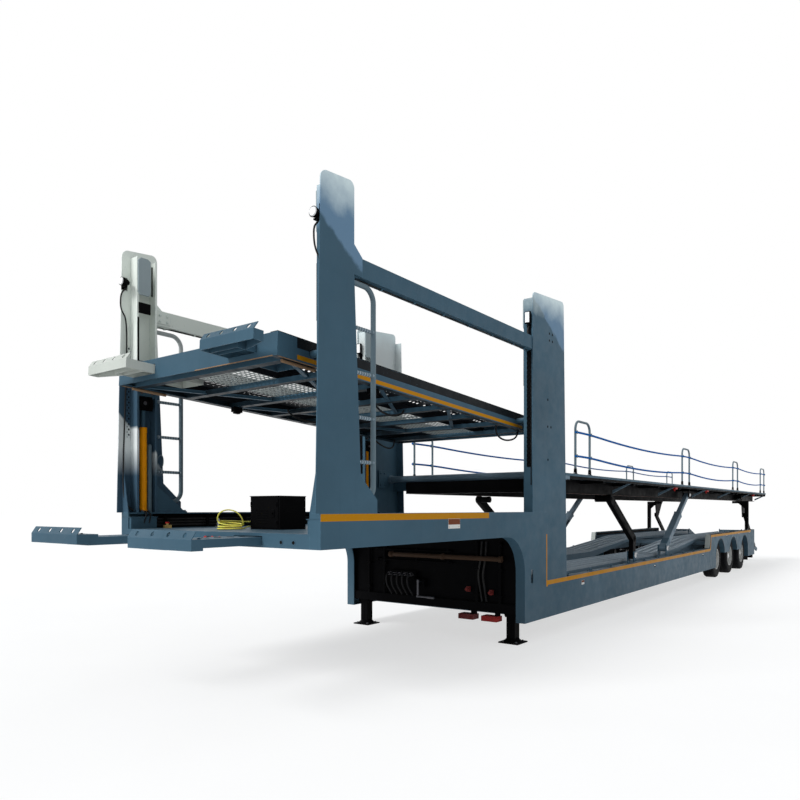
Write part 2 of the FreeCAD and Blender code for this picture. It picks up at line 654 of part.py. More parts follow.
def gooseneck_deck():
    """Deck plate, front beam and cross channels between the side frames."""
    under = DECK_TOP - PLATE
    floor = across(FLANGE, NECK_POST_FRONT, under, DECK_TOP, WEB_HALF)
    front = across(0.0, FLANGE, NECK_BEAM_BOTTOM, DECK_TOP, FLANGE_HALF)
    cross = [cross_channel(DECK_CROSS_FIRST + index * DECK_CROSS_PITCH, NECK_BEAM_BOTTOM + FLANGE,
                           under, WEB_HALF) for index in range(DECK_CROSS_COUNT)]
    body = joined([floor, front] + cross)
    for room in arm_windows(-WELD, LOWER_ARM_TAIL + LOWER_RAMP_STROKE + RAMP_GAP):
        body = body.cut(room)
    return body


def kingpin_plate():
    """The rubbing plate under the gooseneck with its kingpin."""
    half = KINGPIN_PLATE_LENGTH / 2
    pieces = [across(KINGPIN_STATION - half, KINGPIN_STATION + half, NECK_BEAM_BOTTOM,
                     NECK_BEAM_BOTTOM + FLANGE, FLANGE_HALF)]
    z = NECK_BEAM_BOTTOM
    for radius, length in KINGPIN_LEVELS:
        z -= length
        pieces.append(Part.makeCylinder(radius, length, V(x_at(KINGPIN_STATION), 0, z)))
    return joined(pieces)


def neck_bulkhead():
    """The closed front wall between the neck's legs, with the lock bars at its left."""
    s0 = BULKHEAD_STATION
    front = s0 - BULKHEAD_RAIL
    top = DECK_TOP - PLATE
    low = BULKHEAD_BOTTOM
    pieces = [across(s0, s0 + PLATE, low, top, WEB_HALF),
              across(front, s0, low, low + BULKHEAD_LOW_RAIL, WEB_HALF),
              across(front, s0, NECK_BEAM_BOTTOM - BULKHEAD_HIGH_RAIL, NECK_BEAM_BOTTOM, WEB_HALF)]
    reach, height = LOCK_BLOCK
    for inset, bar, block in LOCK_BARS:
        under = low - LOCK_DROP
        pieces.append(box(front, s0, inset, inset + bar, under, low))
        pieces.append(box(front - reach, s0, inset, inset + block, under - height, under))
    return joined(pieces)


def landing_legs():
    """Two square telescopic legs with flared feet, on the bulkhead."""
    s0 = BULKHEAD_STATION + PLATE
    s_mid = s0 + LEG_SLEEVE / 2
    t_mid = LEG_SIDE_INSET + LEG_SLEEVE / 2

    def square_tube(half, z0, z1):
        room = half - LEG_WALL
        return box(s_mid - half, s_mid + half, t_mid - half, t_mid + half, z0, z1).cut(
            box(s_mid - room, s_mid + room, t_mid - room, t_mid + room, z0 - WELD, z1 + WELD))

    mouth = BELLY_BOTTOM + LEG_LIFT
    sleeve = square_tube(LEG_SLEEVE / 2, mouth, NECK_BEAM_BOTTOM + BULKHEAD_HIGH_RAIL)
    inner = square_tube(LEG_SLEEVE / 2 - LEG_WALL, LEG_LIFT, mouth + LEG_OVERLAP)
    half_foot = LEG_FOOT_SIZE / 2
    foot = box(s_mid - half_foot, s_mid + half_foot, t_mid - half_foot, t_mid + half_foot,
               0.0, LEG_FOOT_PLATE)
    skirt = Part.makeCone(half_foot - LEG_WALL, LEG_SLEEVE / 2 - LEG_WALL / 2, LEG_SKIRT,
                          V(x_at(s_mid), y_at(t_mid), LEG_FOOT_PLATE))
    return apart(both(joined([sleeve, inner, foot, skirt])))


def power_cabinet():
    """A closed cabinet on the gooseneck deck's centre line."""
    s0, s1, half, height = CABINET
    wall = CABINET_WALL
    top = DECK_TOP + height
    outer = across(s0, s1, DECK_TOP, top, half)
    inner = across(s0 + wall, s1 - wall, DECK_TOP + wall, top - wall, half - wall)
    return outer.cut(inner)


# ---- supply lead ------------------------------------------------------------------

def lead_gland():
    """The tapered sleeve in which the lead leaves the cabinet's side."""
    station, height = LEAD_EXIT
    wide, narrow, length = LEAD_GLAND
    start = V(x_at(station), -CABINET[2], DECK_TOP + height)
    return Part.makeCone(wide, narrow, length, start, -ACROSS)


def lead_coil():
    """The loose coil's outer shape."""
    station, inset = LEAD_COIL
    inner, outer = LEAD_COIL_RADII
    top = DECK_TOP + LEAD_COIL_HEIGHT
    return rod_z(station, inset, outer, DECK_TOP, top).cut(
        rod_z(station, inset, inner, DECK_TOP - WELD, top + WELD))


def lead_run(points):
    """A stretch of the lead outside its coil; prints the radii of its bends."""
    corners = [V(x_at(s), y_at(t), DECK_TOP + z) for s, t, z in points]
    bends = [slack_bend(*near) for near in zip(corners, corners[1:], corners[2:])]
    print("lead bends, mm:", " ".join("%.0f" % bend for bend in bends))
    return tube_path(corners, LEAD_RADIUS)


def supply_lead():
    """The lead's free stretches: to the coil, its standing loop and its plug's end."""
    station, height = LEAD_EXIT
    start = (station, HALF + CABINET[2] + LEAD_GLAND[2], height)
    coil = lead_coil()
    return apart([lead_run(points).cut(coil) for points in ((start,) + LEAD_TAIL, LEAD_LOOP, LEAD_END)])


def lead_plug():
    """A round plug with a narrow grip, lying beside the cabinet."""
    station, inset, height = LEAD_END[-1]
    radius, length = LEAD_PLUG
    narrow, grip = LEAD_PLUG_GRIP
    z = DECK_TOP + height
    return joined([rod_x(inset, z, narrow, station, station + grip + WELD),
                   rod_x(inset, z, radius, station + grip, station + length)])


# ---- lift cylinders and carriages -------------------------------------------------

def lift_barrels():
    """Upright barrels with a closed bottom and a gland at the top."""
    base = NECK_BEAM_TOP
    top = base + BARREL_LENGTH
    pieces = []
    for station in (FRONT_GUIDE, NECK_GUIDE):
        barrel = rod_z(station, CYLINDER_INSET, BARREL_RADIUS, base, top)
        bore = rod_z(station, CYLINDER_INSET, BARREL_BORE, base + BARREL_END, top - GLAND_LENGTH)
        gland = rod_z(station, CYLINDER_INSET, ROD_RADIUS + PIN_GAP, top - GLAND_LENGTH - WELD, top + WELD)
        pieces += both(barrel.cut(bore).cut(gland))
    return apart(pieces)


def carriage(station, pin_height):
    """A guide carriage: inner plate, bridge over the cylinder, rod and deck pin."""
    half = CARRIAGE_WIDTH / 2
    plate = CARRIAGE_PLATE
    bridge_z = pin_height + CARRIAGE_ABOVE
    top = bridge_z + CARRIAGE_BRIDGE
    low = pin_height - CARRIAGE_BELOW
    outer = PLATE + CARRIAGE_REACH
    inner = CARRIAGE_INNER
    pieces = [box(station - half, station + half, inner - plate, inner, low, top),
              box(station - half, station + half, outer, inner, bridge_z, top)]
    for s0 in (station - half, station + half - plate):
        pieces.append(box(s0, s0 + plate, outer, inner, low, bridge_z))
    rod_base = NECK_BEAM_TOP + BARREL_LENGTH - ROD_INSIDE
    pieces.append(rod_z(station, CYLINDER_INSET, ROD_RADIUS, rod_base, bridge_z))
    pieces.append(rod_y(station, pin_height, PIN_RADIUS, inner - WELD, UPPER_INSET + PLATE + MOVING_GAP))
    return joined(pieces)


def front_pin_height():
    """Height of the front carriage pins on the tilted deck."""
    run = NECK_GUIDE - FRONT_GUIDE
    return UPPER_PIN_HEIGHT + run * math.tan(math.radians(UPPER_TILT))


def rear_carriages():
    return apart(both(carriage(NECK_GUIDE, UPPER_PIN_HEIGHT)))


def front_carriages():
    return apart(both(carriage(FRONT_GUIDE, front_pin_height())))


# ---- front upper deck ---------------------------------------------------------------

def tilted(shape):
    """Tilts a level deck piece about the rear carriage pins, nose up."""
    return shape.copy().rotate(V(x_at(NECK_GUIDE), 0, UPPER_PIN_HEIGHT), ACROSS, -UPPER_TILT)


def upper_level():
    """Underside of the level deck's side channels."""
    return UPPER_PIN_HEIGHT - CHANNEL_HEIGHT / 2


def upper_arm_level():
    """Underside of the upper ramps' arms, on the deck's cross members."""
    return upper_level() + UPPER_CROSS_HEIGHT + RUNNER_GAP


def upper_frame():
    """Side channels, end beams and cross members, with the pin holes and ramp windows."""
    bottom = upper_level()
    top = bottom + CHANNEL_HEIGHT
    outer = UPPER_INSET
    side = box(UPPER_FRONT, UPPER_REAR, outer, outer + CHANNEL_WIDTH, bottom, top)
    room = box(UPPER_FRONT - WELD, UPPER_REAR + WELD, outer + PLATE, outer + CHANNEL_WIDTH + WELD,
               bottom + PLATE, top - PLATE)
    rear_hole = rod_y(NECK_GUIDE, UPPER_PIN_HEIGHT, PIN_RADIUS + PIN_GAP, outer - WELD, outer + PLATE + WELD)
    middle = NECK_GUIDE - (NECK_GUIDE - FRONT_GUIDE) / math.cos(math.radians(UPPER_TILT))
    half = SLOT_TRAVEL / 2
    radius = PIN_RADIUS + SLOT_PLAY
    ends = [rod_y(s, UPPER_PIN_HEIGHT, radius, outer - WELD, outer + PLATE + WELD)
            for s in (middle - half, middle + half)]
    slot = joined(ends + [box(middle - half, middle + half, outer - WELD, outer + PLATE + WELD,
                              UPPER_PIN_HEIGHT - radius, UPPER_PIN_HEIGHT + radius)])
    side = side.cut(room).cut(rear_hole).cut(slot)
    inner_half = HALF - outer
    pieces = both(side)
    for s0 in (UPPER_FRONT, UPPER_REAR - PLATE):
        pieces.append(across(s0, s0 + PLATE, bottom, top, inner_half))
    for index in range(UPPER_CROSS_COUNT):
        pieces.append(cross_channel(UPPER_CROSS_FIRST + index * UPPER_CROSS_PITCH, bottom,
                                    bottom + UPPER_CROSS_HEIGHT, inner_half - PLATE, UPPER_CROSS_WIDTH))
    body = joined(pieces)
    window = box(UPPER_FRONT - WELD, UPPER_FRONT + PLATE + WELD, UPPER_ARM_OUTER - RAMP_GAP,
                 UPPER_RAMP_INNER + RAMP_GAP, bottom + UPPER_CROSS_HEIGHT,
                 upper_arm_level() + UPPER_ARM_HEIGHT + RAMP_GAP)
    for cut in both(window):
        body = body.cut(cut)
    return tilted(body)


def upper_tracks():
    """Two wheel tracks whose outer edges stand on the cross members."""
    base = upper_level()
    level = base + UPPER_TRACK_LEVEL
    start = UPPER_FRONT + PLATE
    end = UPPER_REAR - PLATE
    pieces = [box(start, end, TRACK_INSET, TRACK_INSET + TRACK_WIDTH, level, level + TRACK_PLATE)]
    for t in (TRACK_INSET, TRACK_INSET + TRACK_WIDTH - TRACK_LIP):
        pieces.append(box(start, end, t, t + TRACK_LIP, base + UPPER_CROSS_HEIGHT,
                          level + TRACK_PLATE + TRACK_LIP_HEIGHT))
    panel = across(start, end, base + UPPER_CROSS_HEIGHT, base + UPPER_CROSS_HEIGHT + CENTRE_PANEL,
                   HALF - TRACK_INSET - TRACK_WIDTH - MOVING_GAP)
    return tilted(apart(both(joined(pieces)) + [panel]))


# ---- front ramps ---------------------------------------------------------------------

def end_lip(tip, outer, inner, z):
    """The bent-up lip at a ramp's tip, leaning back, with round holes."""
    back = tip + LIP_LEAN
    lip = side_prism([(tip, z - RAMP_WALL), (tip, z), (back, z + LIP_RISE),
                      (back + RAMP_WALL, z + LIP_RISE), (tip + RAMP_WALL, z),
                      (tip + RAMP_WALL, z - RAMP_WALL)], outer, inner)
    pitch = (inner - outer) / LIP_HOLES
    for index in range(LIP_HOLES):
        start = V(x_at(tip - WELD), y_at(outer + pitch * (index + 0.5)), z + LIP_RISE / 2)
        lip = lip.cut(Part.makeCylinder(LIP_HOLE, LIP_LEAN + 2 * RAMP_WALL, start, V(-1, 0, 0)))
    return lip


def ramp(tip, outer, inner, arm_outer, arm_end, arm_z, arm_height, tip_z, tip_height):
    """A loading ramp: a wide skirted tip on a straight skirted arm."""
    neck = tip + RAMP_TIP_LENGTH
    wide = [(tip, outer), (neck, outer), (neck + RAMP_NECK_LENGTH, arm_outer),
            (neck + RAMP_NECK_LENGTH, inner), (tip, inner)]
    arm = [(neck, arm_outer), (arm_end, arm_outer), (arm_end, inner), (neck, inner)]
    pieces = [tray(wide, tip_z, tip_z + tip_height, RAMP_WALL),
              tray(arm, arm_z, arm_z + arm_height, RAMP_WALL),
              end_lip(tip, outer, inner, tip_z + tip_height)]
    return joined(pieces)


def lower_ramp():
    """A front ramp whose arm slides into the gooseneck deck's front."""
    tip = -FRONT_REACH
    body = ramp(tip, LOWER_RAMP_OUTER, LOWER_RAMP_INNER, LOWER_ARM_OUTER, LOWER_ARM_TAIL,
                ARM_LEVEL, LOWER_ARM_HEIGHT, ARM_LEVEL + LOWER_TIP_RAISE, LOWER_TIP_HEIGHT)
    inset = (LOWER_ARM_OUTER + LOWER_RAMP_INNER) / 2
    first = tip + RAMP_TIP_LENGTH + ARM_HOLE_FIRST
    for index in range(ARM_HOLES):
        body = body.cut(rod_z(first + index * ARM_HOLE_PITCH, inset, ARM_HOLE, ARM_LEVEL,
                              ARM_LEVEL + LOWER_ARM_HEIGHT + WELD))
    return body


def upper_ramp():
    """A short ramp whose arm slides into the upper deck's front."""
    level = upper_arm_level()
    body = ramp(UPPER_FRONT - UPPER_RAMP_REACH, UPPER_RAMP_OUTER, UPPER_RAMP_INNER, UPPER_ARM_OUTER,
                UPPER_FRONT + UPPER_ARM_TAIL, level, UPPER_ARM_HEIGHT, level, UPPER_ARM_HEIGHT)
    return tilted(body)


# ---- lower deck -----------------------------------------------------------------------

def track_line():
    """Stations and heights of the lower tracks' underside: level, ramp and level."""
    low = BELLY_TOP - TRACK_DROP
    return [(LOWER_TRACK_FRONT, low), (TRACK_RISE_START, low), (TRACK_RISE_END, WHEEL_DECK),
            (FRAME_END, WHEEL_DECK)]


def lower_tracks():
    """Two ribbed wheel tracks that climb over the axles."""
    def strip(rise0, rise1, t0, t1):
        low = [(s, z + rise0) for s, z in track_line()]
        high = [(s, z + rise1) for s, z in reversed(track_line())]
        return side_prism(low + high, t0, t1)
    end = LOWER_TRACK_INSET + LOWER_TRACK_WIDTH
    pieces = [strip(0.0, TRACK_PLATE, LOWER_TRACK_INSET, end)]
    pitch = (LOWER_TRACK_WIDTH - TRACK_RIB) / (TRACK_RIBS - 1)
    for index in range(TRACK_RIBS):
        t = LOWER_TRACK_INSET + pitch * index
        pieces.append(strip(TRACK_PLATE - WELD, TRACK_PLATE + TRACK_RIB_HEIGHT, t, t + TRACK_RIB))
    return apart(both(joined(pieces)))


def track_rails():
    """The rails that carry each track's edges."""
    low = BELLY_TOP - TRACK_DROP
    line = [(LOWER_CROSS_FIRST, low)] + track_line()[1:]
    under = [(FRAME_END, WHEEL_DECK - RAIL_DEPTH_REAR), (TRACK_RISE_END, WHEEL_DECK - RAIL_DEPTH_REAR),
             (TRACK_RISE_START, low - RAIL_DEPTH), (LOWER_CROSS_FIRST, low - RAIL_DEPTH)]
    end = LOWER_TRACK_INSET + LOWER_TRACK_WIDTH
    rails = []
    for t in (LOWER_TRACK_INSET, end - RAIL_WIDTH):
        rails += both(side_prism(line + under, t, t + RAIL_WIDTH))
    return rails


def bogie_rails():
    """Hollow rails over the suspension, cut to a wedge where the tracks climb."""
    t0 = BOGIE_RAIL_INSET
    t1 = t0 + BOGIE_RAIL_WIDTH
    top = WHEEL_DECK - RAIL_DEPTH_REAR
    low = top - BOGIE_RAIL_HEIGHT
    start = TRACK_RISE_START
    end = FRAME_END - CROSS_WIDTH
    rail = box(start, end, t0, t1, low, top)
    room = box(start - WELD, end + WELD, t0 + PLATE, t1 - PLATE, low + PLATE, top - PLATE)
    above = side_prism([(start - WELD, BELLY_TOP - TRACK_DROP - RAIL_DEPTH), (TRACK_RISE_END, top),
                        (start - WELD, top + WELD)], t0 - WELD, t1 + WELD)
    return both(rail.cut(room).cut(above))


def ramp_lugs():
    """Bored lugs behind the frame's end that carry the rear ramps' pins."""
    station, height = REAR_RAMP_PIN
    radius = RUNG_SIZE
    lugs = []
    for t in (REAR_RAMP_INSET + LUG_INSET,
              REAR_RAMP_INSET + REAR_RAMP_WIDTH - LUG_INSET - CHEEK):
        lug = joined([box(FRAME_END, station, t, t + CHEEK, WHEEL_DECK - 2 * BOGIE_CROSS_HEIGHT,
                          height + radius), rod_y(station, height, radius, t, t + CHEEK)])
        lugs += both(lug.cut(rod_y(station, height, RAMP_PIN_RADIUS + PIN_GAP, t - WELD, t + CHEEK + WELD)))
    return lugs


def lower_frame():
    """Cross members, track rails and bogie rails that tie the side frames together."""
    low = BELLY_BOTTOM + FLANGE
    rail_low = BELLY_TOP - TRACK_DROP - RAIL_DEPTH
    pieces = []
    station = LOWER_CROSS_FIRST
    while station < TRACK_RISE_START:
        pieces.append(cross_channel(station, low, rail_low + WELD, WEB_HALF))
        station += LOWER_CROSS_PITCH
    top = WHEEL_DECK - RAIL_DEPTH_REAR + WELD
    for index in range(AXLE_COUNT + 1):
        middle = AXLE_FIRST + AXLE_PITCH * (index - 0.5)
        pieces.append(cross_channel(middle - CROSS_WIDTH / 2, top - BOGIE_CROSS_HEIGHT, top, WEB_HALF))
    tail = cross_box(FRAME_END - CROSS_WIDTH, FRAME_END, COVER_BOTTOM + TAIL_RISE, top, FLANGE_HALF)
    return joined(pieces + track_rails() + bogie_rails() + [tail] + ramp_lugs())


def suspension():
    """Leaf springs in hangers under the bogie rails, seated on each axle."""
    t0 = BOGIE_RAIL_INSET + (BOGIE_RAIL_WIDTH - SPRING_WIDTH) / 2
    t1 = t0 + SPRING_WIDTH
    z = HUB_HEIGHT + AXLE_RADIUS + WELD
    rail = WHEEL_DECK - RAIL_DEPTH_REAR - BOGIE_RAIL_HEIGHT
    half = SPRING_LENGTH / 2
    pieces = []
    for station in axle_stations():
        spring = box(station - half, station + half, t0, t1, z, z + SPRING_HEIGHT)
        seat = box(station - HANGER_LENGTH, station + HANGER_LENGTH, t0, t1, z - SPRING_SEAT, z)
        seat = seat.cut(rod_y(station, HUB_HEIGHT, AXLE_RADIUS + RUNNER_GAP, t0 - WELD, t1 + WELD))
        parts = [spring, seat]
        for s0 in (station - half, station + half - HANGER_LENGTH):
            parts.append(box(s0, s0 + HANGER_LENGTH, t0, t1, z + SPRING_HEIGHT, rail))
        pieces += both(joined(parts))
    return apart(pieces)


def axles():
    """Tube axles with the spindles that the hubs turn on."""
    inner = TYRE_INSET + DRUM_DEPTH + DRUM_CLEARANCE
    half = HALF - inner
    collar = 3 * AXLE_WALL
    pieces = []
    for station in axle_stations():
        start = V(x_at(station), -half, HUB_HEIGHT)
        beam = Part.makeCylinder(AXLE_RADIUS, 2 * half, start, ACROSS)
        bore = Part.makeCylinder(AXLE_RADIUS - AXLE_WALL, 2 * (half - collar),
                                 start + ACROSS * collar, ACROSS)
        spindle = rod_y(station, HUB_HEIGHT, SPINDLE_RADIUS, TYRE_INSET + HUB_RECESS, inner + WELD)
        pieces.append(joined([beam.cut(bore)] + both(spindle)))
    return apart(pieces)


def turned(station, inset, section, side):
    """A ring turned about an axle from (radius, depth inboard) corners."""
    points = [V(x_at(station), y_at(inset) - depth, HUB_HEIGHT + radius) for radius, depth in section]
    face = Part.Face(Part.makePolygon(points + points[:1]))
    return on_side(face.revolve(V(x_at(station), 0, HUB_HEIGHT), ACROSS, 360), side)


def tyre(station, side):
    """A tyre turned from its section."""
    bead = RIM_RADIUS + BEAD_GAP
    fall, edge = TYRE_SHOULDER
    half = [(bead, TYRE_BEAD), (bead + TYRE_SEAT, 0.0), (TYRE_RADIUS - TYRE_WALL, 0.0),
            (TYRE_RADIUS - fall, edge - fall), (TYRE_RADIUS, edge)]
    section = half + [(radius, TYRE_WIDTH - depth) for radius, depth in reversed(half)]
    return turned(station, TYRE_INSET, section, side)


def rim(station, side):
    """A dished steel rim with its hub and brake drum, turned from one section."""
    bore = SPINDLE_RADIUS + PIN_GAP
    inside = RIM_RADIUS - RIM_WALL
    face = DISH_DEPTH
    back = DISH_DEPTH + RIM_WALL
    rear = TYRE_WIDTH - RIM_WALL
    end = HUB_RECESS - MOVING_GAP
    section = [(bore, end), (bore, DRUM_DEPTH), (DRUM_RADIUS, DRUM_DEPTH), (DRUM_RADIUS, back),
               (inside, back), (inside, rear), (RIM_RADIUS, rear), (RIM_RADIUS, RIM_EDGE),
               (inside, RIM_EDGE), (inside, face), (HUB_RADIUS, face),
               (HUB_RADIUS - RIM_WALL, end), (bore + HUB_STEP, end - HUB_STEP),
               (0.0, end - HUB_STEP), (0.0, end)]
    return turned(station, TYRE_INSET, section, side)


def rear_bumper():
    """The low bar behind the frame's end, on two arms."""
    s0 = FRAME_END
    inset, width, height = BUMPER_ARM
    top = BUMPER_LOW + BUMPER_HEIGHT
    bar = across(s0, s0 + BUMPER_DEPTH, BUMPER_LOW, top, HALF - BUMPER_INSET)
    arms = both(box(s0, s0 + width, inset, inset + width, top - WELD, top + height))
    return joined([bar] + arms)


def rest_posts():
    """Stands on the wheel covers on which the lowered rear deck rests."""
    lead, width, t0 = REST_POST
    s0 = FRAME_END - lead
    top = REAR_BEAM_LOW - MOVING_GAP
    post = box(s0, s0 + width, t0, t0 + width, COVER_TOP, top)
    head = box(s0, s0 + width, t0, REAR_BEAM_INSET + REAR_BEAM_WIDTH, top - REST_HEAD, top)
    return apart(both(joined([post, head])))


# ---- rear upper deck ---------------------------------------------------------------------

def hinge_web_inset():
    """Insets of the rear deck's beam web, which the hinge pins pass through."""
    middle = REAR_BEAM_INSET + REAR_BEAM_WIDTH / 2
    return middle - FLANGE / 2, middle + FLANGE / 2


def deck_beam():
    """One of the rear deck's main beams, an I section bored for the hinge pin."""
    t0 = REAR_BEAM_INSET
    t1 = t0 + REAR_BEAM_WIDTH
    web = hinge_web_inset()
    beam = box(REAR_DECK_FRONT, REAR_DECK_END, t0, t1, REAR_BEAM_LOW, REAR_BEAM_TOP)
    for a, b in ((t0 - WELD, web[0]), (web[1], t1 + WELD)):
        beam = beam.cut(box(REAR_DECK_FRONT - WELD, REAR_DECK_END + WELD, a, b, REAR_BEAM_LOW + FLANGE,
                            REAR_BEAM_TOP - FLANGE))
    return beam.cut(rod_y(HINGE_STATION, HINGE_HEIGHT, PIN_RADIUS + PIN_GAP, web[0] - WELD, web[1] + WELD))


def leg_bracket():
    """The tapering plate that carries a folding leg's pin, on a rail to the beam."""
    s, z = LEG_PIN
    ahead, behind = BRACKET_LENGTH
    nose = BRACKET_NOSE
    t0 = LEG_INSET + LEG_THICK + MOVING_GAP
    shelf = SADDLE_TOP + WELD
    plate = side_prism([(s - 1.5 * nose, z - nose), (s - ahead, shelf), (s + behind, shelf),
                        (s + BRACKET_CORNER, REAR_BEAM_LOW - nose), (s + 1.5 * nose, z - nose)],
                       t0, t0 + CHEEK)
    pin = rod_y(s, z, PIN_RADIUS, LEG_INSET - MOVING_GAP, t0 + WELD)
    rail = box(s - ahead, s + behind, t0, hinge_web_inset()[1], shelf - REAR_BEAM_WIDTH, shelf)
    return joined([plate, pin, rail])


def eye_cheeks():
    """The two cheeks that a strut's eye stands between, on a saddle beside the beam."""
    s, z = STRUT_EYE
    side = (STRUT_SIZE - STRUT_ROD) / 2
    t0 = STRUT_INSET + side - MOVING_GAP
    t1 = STRUT_INSET + STRUT_SIZE - side + MOVING_GAP
    half = STRUT_ROD
    saddle = box(s - half, s + half, t0 - CHEEK, hinge_web_inset()[1], SADDLE_TOP - WELD, SADDLE_TOP + CHEEK)
    cheeks = [box(s - half, s + half, t, t + CHEEK, z - PIN_RADIUS - CHEEK, SADDLE_TOP)
              for t in (t0 - CHEEK, t1)]
    return joined([saddle] + cheeks)


def rear_upper_frame():
    """Main beams, edge beams, cross members and the struts' and legs' brackets."""
    inner_half = HALF - REAR_BEAM_INSET
    edge = box(REAR_DECK_SIDE_FRONT, REAR_DECK_END, EDGE_INSET, EDGE_INSET + EDGE_WIDTH,
               REAR_DECK_TOP - EDGE_HEIGHT, REAR_DECK_TOP)
    pieces = both(deck_beam()) + both(edge) + both(leg_bracket()) + both(eye_cheeks())
    pieces.append(cross_box(REAR_DECK_FRONT, REAR_DECK_FRONT + CROSS_WIDTH, REAR_BEAM_LOW,
                            REAR_BEAM_TOP, inner_half))
    run = REAR_DECK_END - REAR_DECK_SIDE_FRONT - CROSS_WIDTH
    count = int(run // REAR_CROSS_PITCH)
    for index in range(count + 1):
        pieces.append(cross_channel(REAR_DECK_SIDE_FRONT + index * run / count, SADDLE_TOP,
                                    REAR_BEAM_TOP + WELD, HALF - EDGE_INSET - WELD))
    return joined(pieces)


def rear_upper_tracks():
    """Wheel tracks and side walkways of the rear deck."""
    level = REAR_BEAM_TOP + WELD
    t0 = REAR_TRACK_INSET
    t1 = t0 + TRACK_WIDTH
    pieces = [box(REAR_DECK_FRONT, REAR_DECK_END, t0, t1, level, level + TRACK_PLATE)]
    for t in (t0, t1 - TRACK_LIP):
        pieces.append(box(REAR_DECK_FRONT, REAR_DECK_END, t, t + TRACK_LIP, level + TRACK_PLATE - WELD,
                          level + TRACK_PLATE + TRACK_LIP_HEIGHT))
    walk = box(REAR_DECK_SIDE_FRONT, REAR_DECK_END, EDGE_INSET + EDGE_WIDTH, t0 - TRACK_LIP,
               level, level + TRACK_PLATE)
    return apart(both(joined(pieces)) + both(walk))


def hoops():
    """Inverted-U hoops that carry the guard ropes, on both edges of the rear deck."""
    inset = EDGE_INSET + EDGE_WIDTH / 2
    low = REAR_DECK_TOP
    high = low + HOOP_HEIGHT
    pieces = []
    for share, width in HOOPS:
        station = REAR_DECK_SIDE_FRONT + share * (REAR_DECK_END - REAR_DECK_SIDE_FRONT)
        corners = [V(x_at(s), y_at(inset), z)
                   for s, z in ((station, low), (station, high), (station + width, high),
                                (station + width, low))]
        pieces += both(tube_path(corners, HOOP_TUBE, HOOP_CORNER))
    return apart(pieces)


# ---- arms, struts and folding legs -----------------------------------------------------

def run_between(start, end):
    """Length and climb in degrees of the line between two (station, height) points."""
    dx = x_at(end[0]) - x_at(start[0])
    dz = end[1] - start[1]
    return math.hypot(dx, dz), math.degrees(math.atan2(dz, dx))


def placed(shape, start, end, outer_inset):
    """Turns a piece built along +X and moves its foot to a (station, height) point."""
    shape.rotate(V(0, 0, 0), ACROSS, -run_between(start, end)[1])
    shape.translate(V(x_at(start[0]), y_at(outer_inset), start[1]))
    return shape


def link(start, end, width, t0, t1, bored):
    """A flat bar with round ends between two points, bored at its foot for a pin."""
    length = run_between(start, end)[0]
    thick = t1 - t0
    pieces = [Part.makeBox(length, thick, width, V(0, 0, -width / 2))]
    for x in (0.0, length):
        pieces.append(Part.makeCylinder(width / 2, thick, V(x, 0, 0), ACROSS))
    body = joined(pieces)
    if bored:
        body = body.cut(Part.makeCylinder(PIN_RADIUS + PIN_GAP, thick + 2 * WELD, V(0, -WELD, 0), ACROSS))
    return placed(body, start, end, t1)


def bent_arms():
    """The dark arms that lift the rear deck's front part, with their top rollers."""
    t0 = ARM_INSET
    t1 = ARM_INSET + ARM_THICK
    lower = link(ARM_FOOT, ARM_KNEE, ARM_WIDTH, t0, t1, True)
    upper = link(ARM_KNEE, ARM_TOP, ARM_WIDTH, t0, t1, False)
    roller = rod_y(ARM_TOP[0], ARM_TOP[1], ARM_ROLLER, t1 - WELD, REAR_BEAM_INSET + REAR_BEAM_WIDTH)
    return apart(both(joined([lower, upper, roller])))


def strut_barrels():
    """Square hollow struts, pinned at the foot, with a close collar at the mouth."""
    size = STRUT_SIZE
    room = size - 2 * STRUT_WALL
    mouth = STRUT_ROD + 2 * RUNNER_GAP
    outer = Part.makeBox(STRUT_BARREL, size, size, V(0, 0, -size / 2))
    inside = Part.makeBox(STRUT_BARREL - size - STRUT_COLLAR, room, room, V(size, STRUT_WALL, -room / 2))
    throat = Part.makeBox(2 * STRUT_COLLAR, mouth, mouth,
                          V(STRUT_BARREL - STRUT_COLLAR - WELD, (size - mouth) / 2, -mouth / 2))
    eye = Part.makeCylinder(size / 2, size, V(0, 0, 0), ACROSS)
    hole = Part.makeCylinder(PIN_RADIUS + PIN_GAP, size + 2 * WELD, V(0, -WELD, 0), ACROSS)
    barrel = joined([outer.cut(inside).cut(throat), eye]).cut(hole)
    return apart(both(placed(barrel, STRUT_FOOT, STRUT_EYE, STRUT_INSET + size)))


def strut_rods():
    """The struts' inner tubes, whose eyes stand between the deck's cheeks."""
    length = run_between(STRUT_FOOT, STRUT_EYE)[0]
    size = STRUT_ROD
    side = (STRUT_SIZE - size) / 2
    start = STRUT_BARREL - STRUT_OVERLAP
    bar = Part.makeBox(length - start, size, size, V(start, side, -size / 2))
    eye = Part.makeCylinder(size / 2 + MOVING_GAP, size, V(length, side, 0), ACROSS)
    hole = Part.makeCylinder(PIN_RADIUS, size + 2 * WELD, V(length, side - WELD, 0), ACROSS)
    rod = joined([bar, eye]).cut(hole)
    return apart(both(placed(rod, STRUT_FOOT, STRUT_EYE, STRUT_INSET + STRUT_SIZE)))


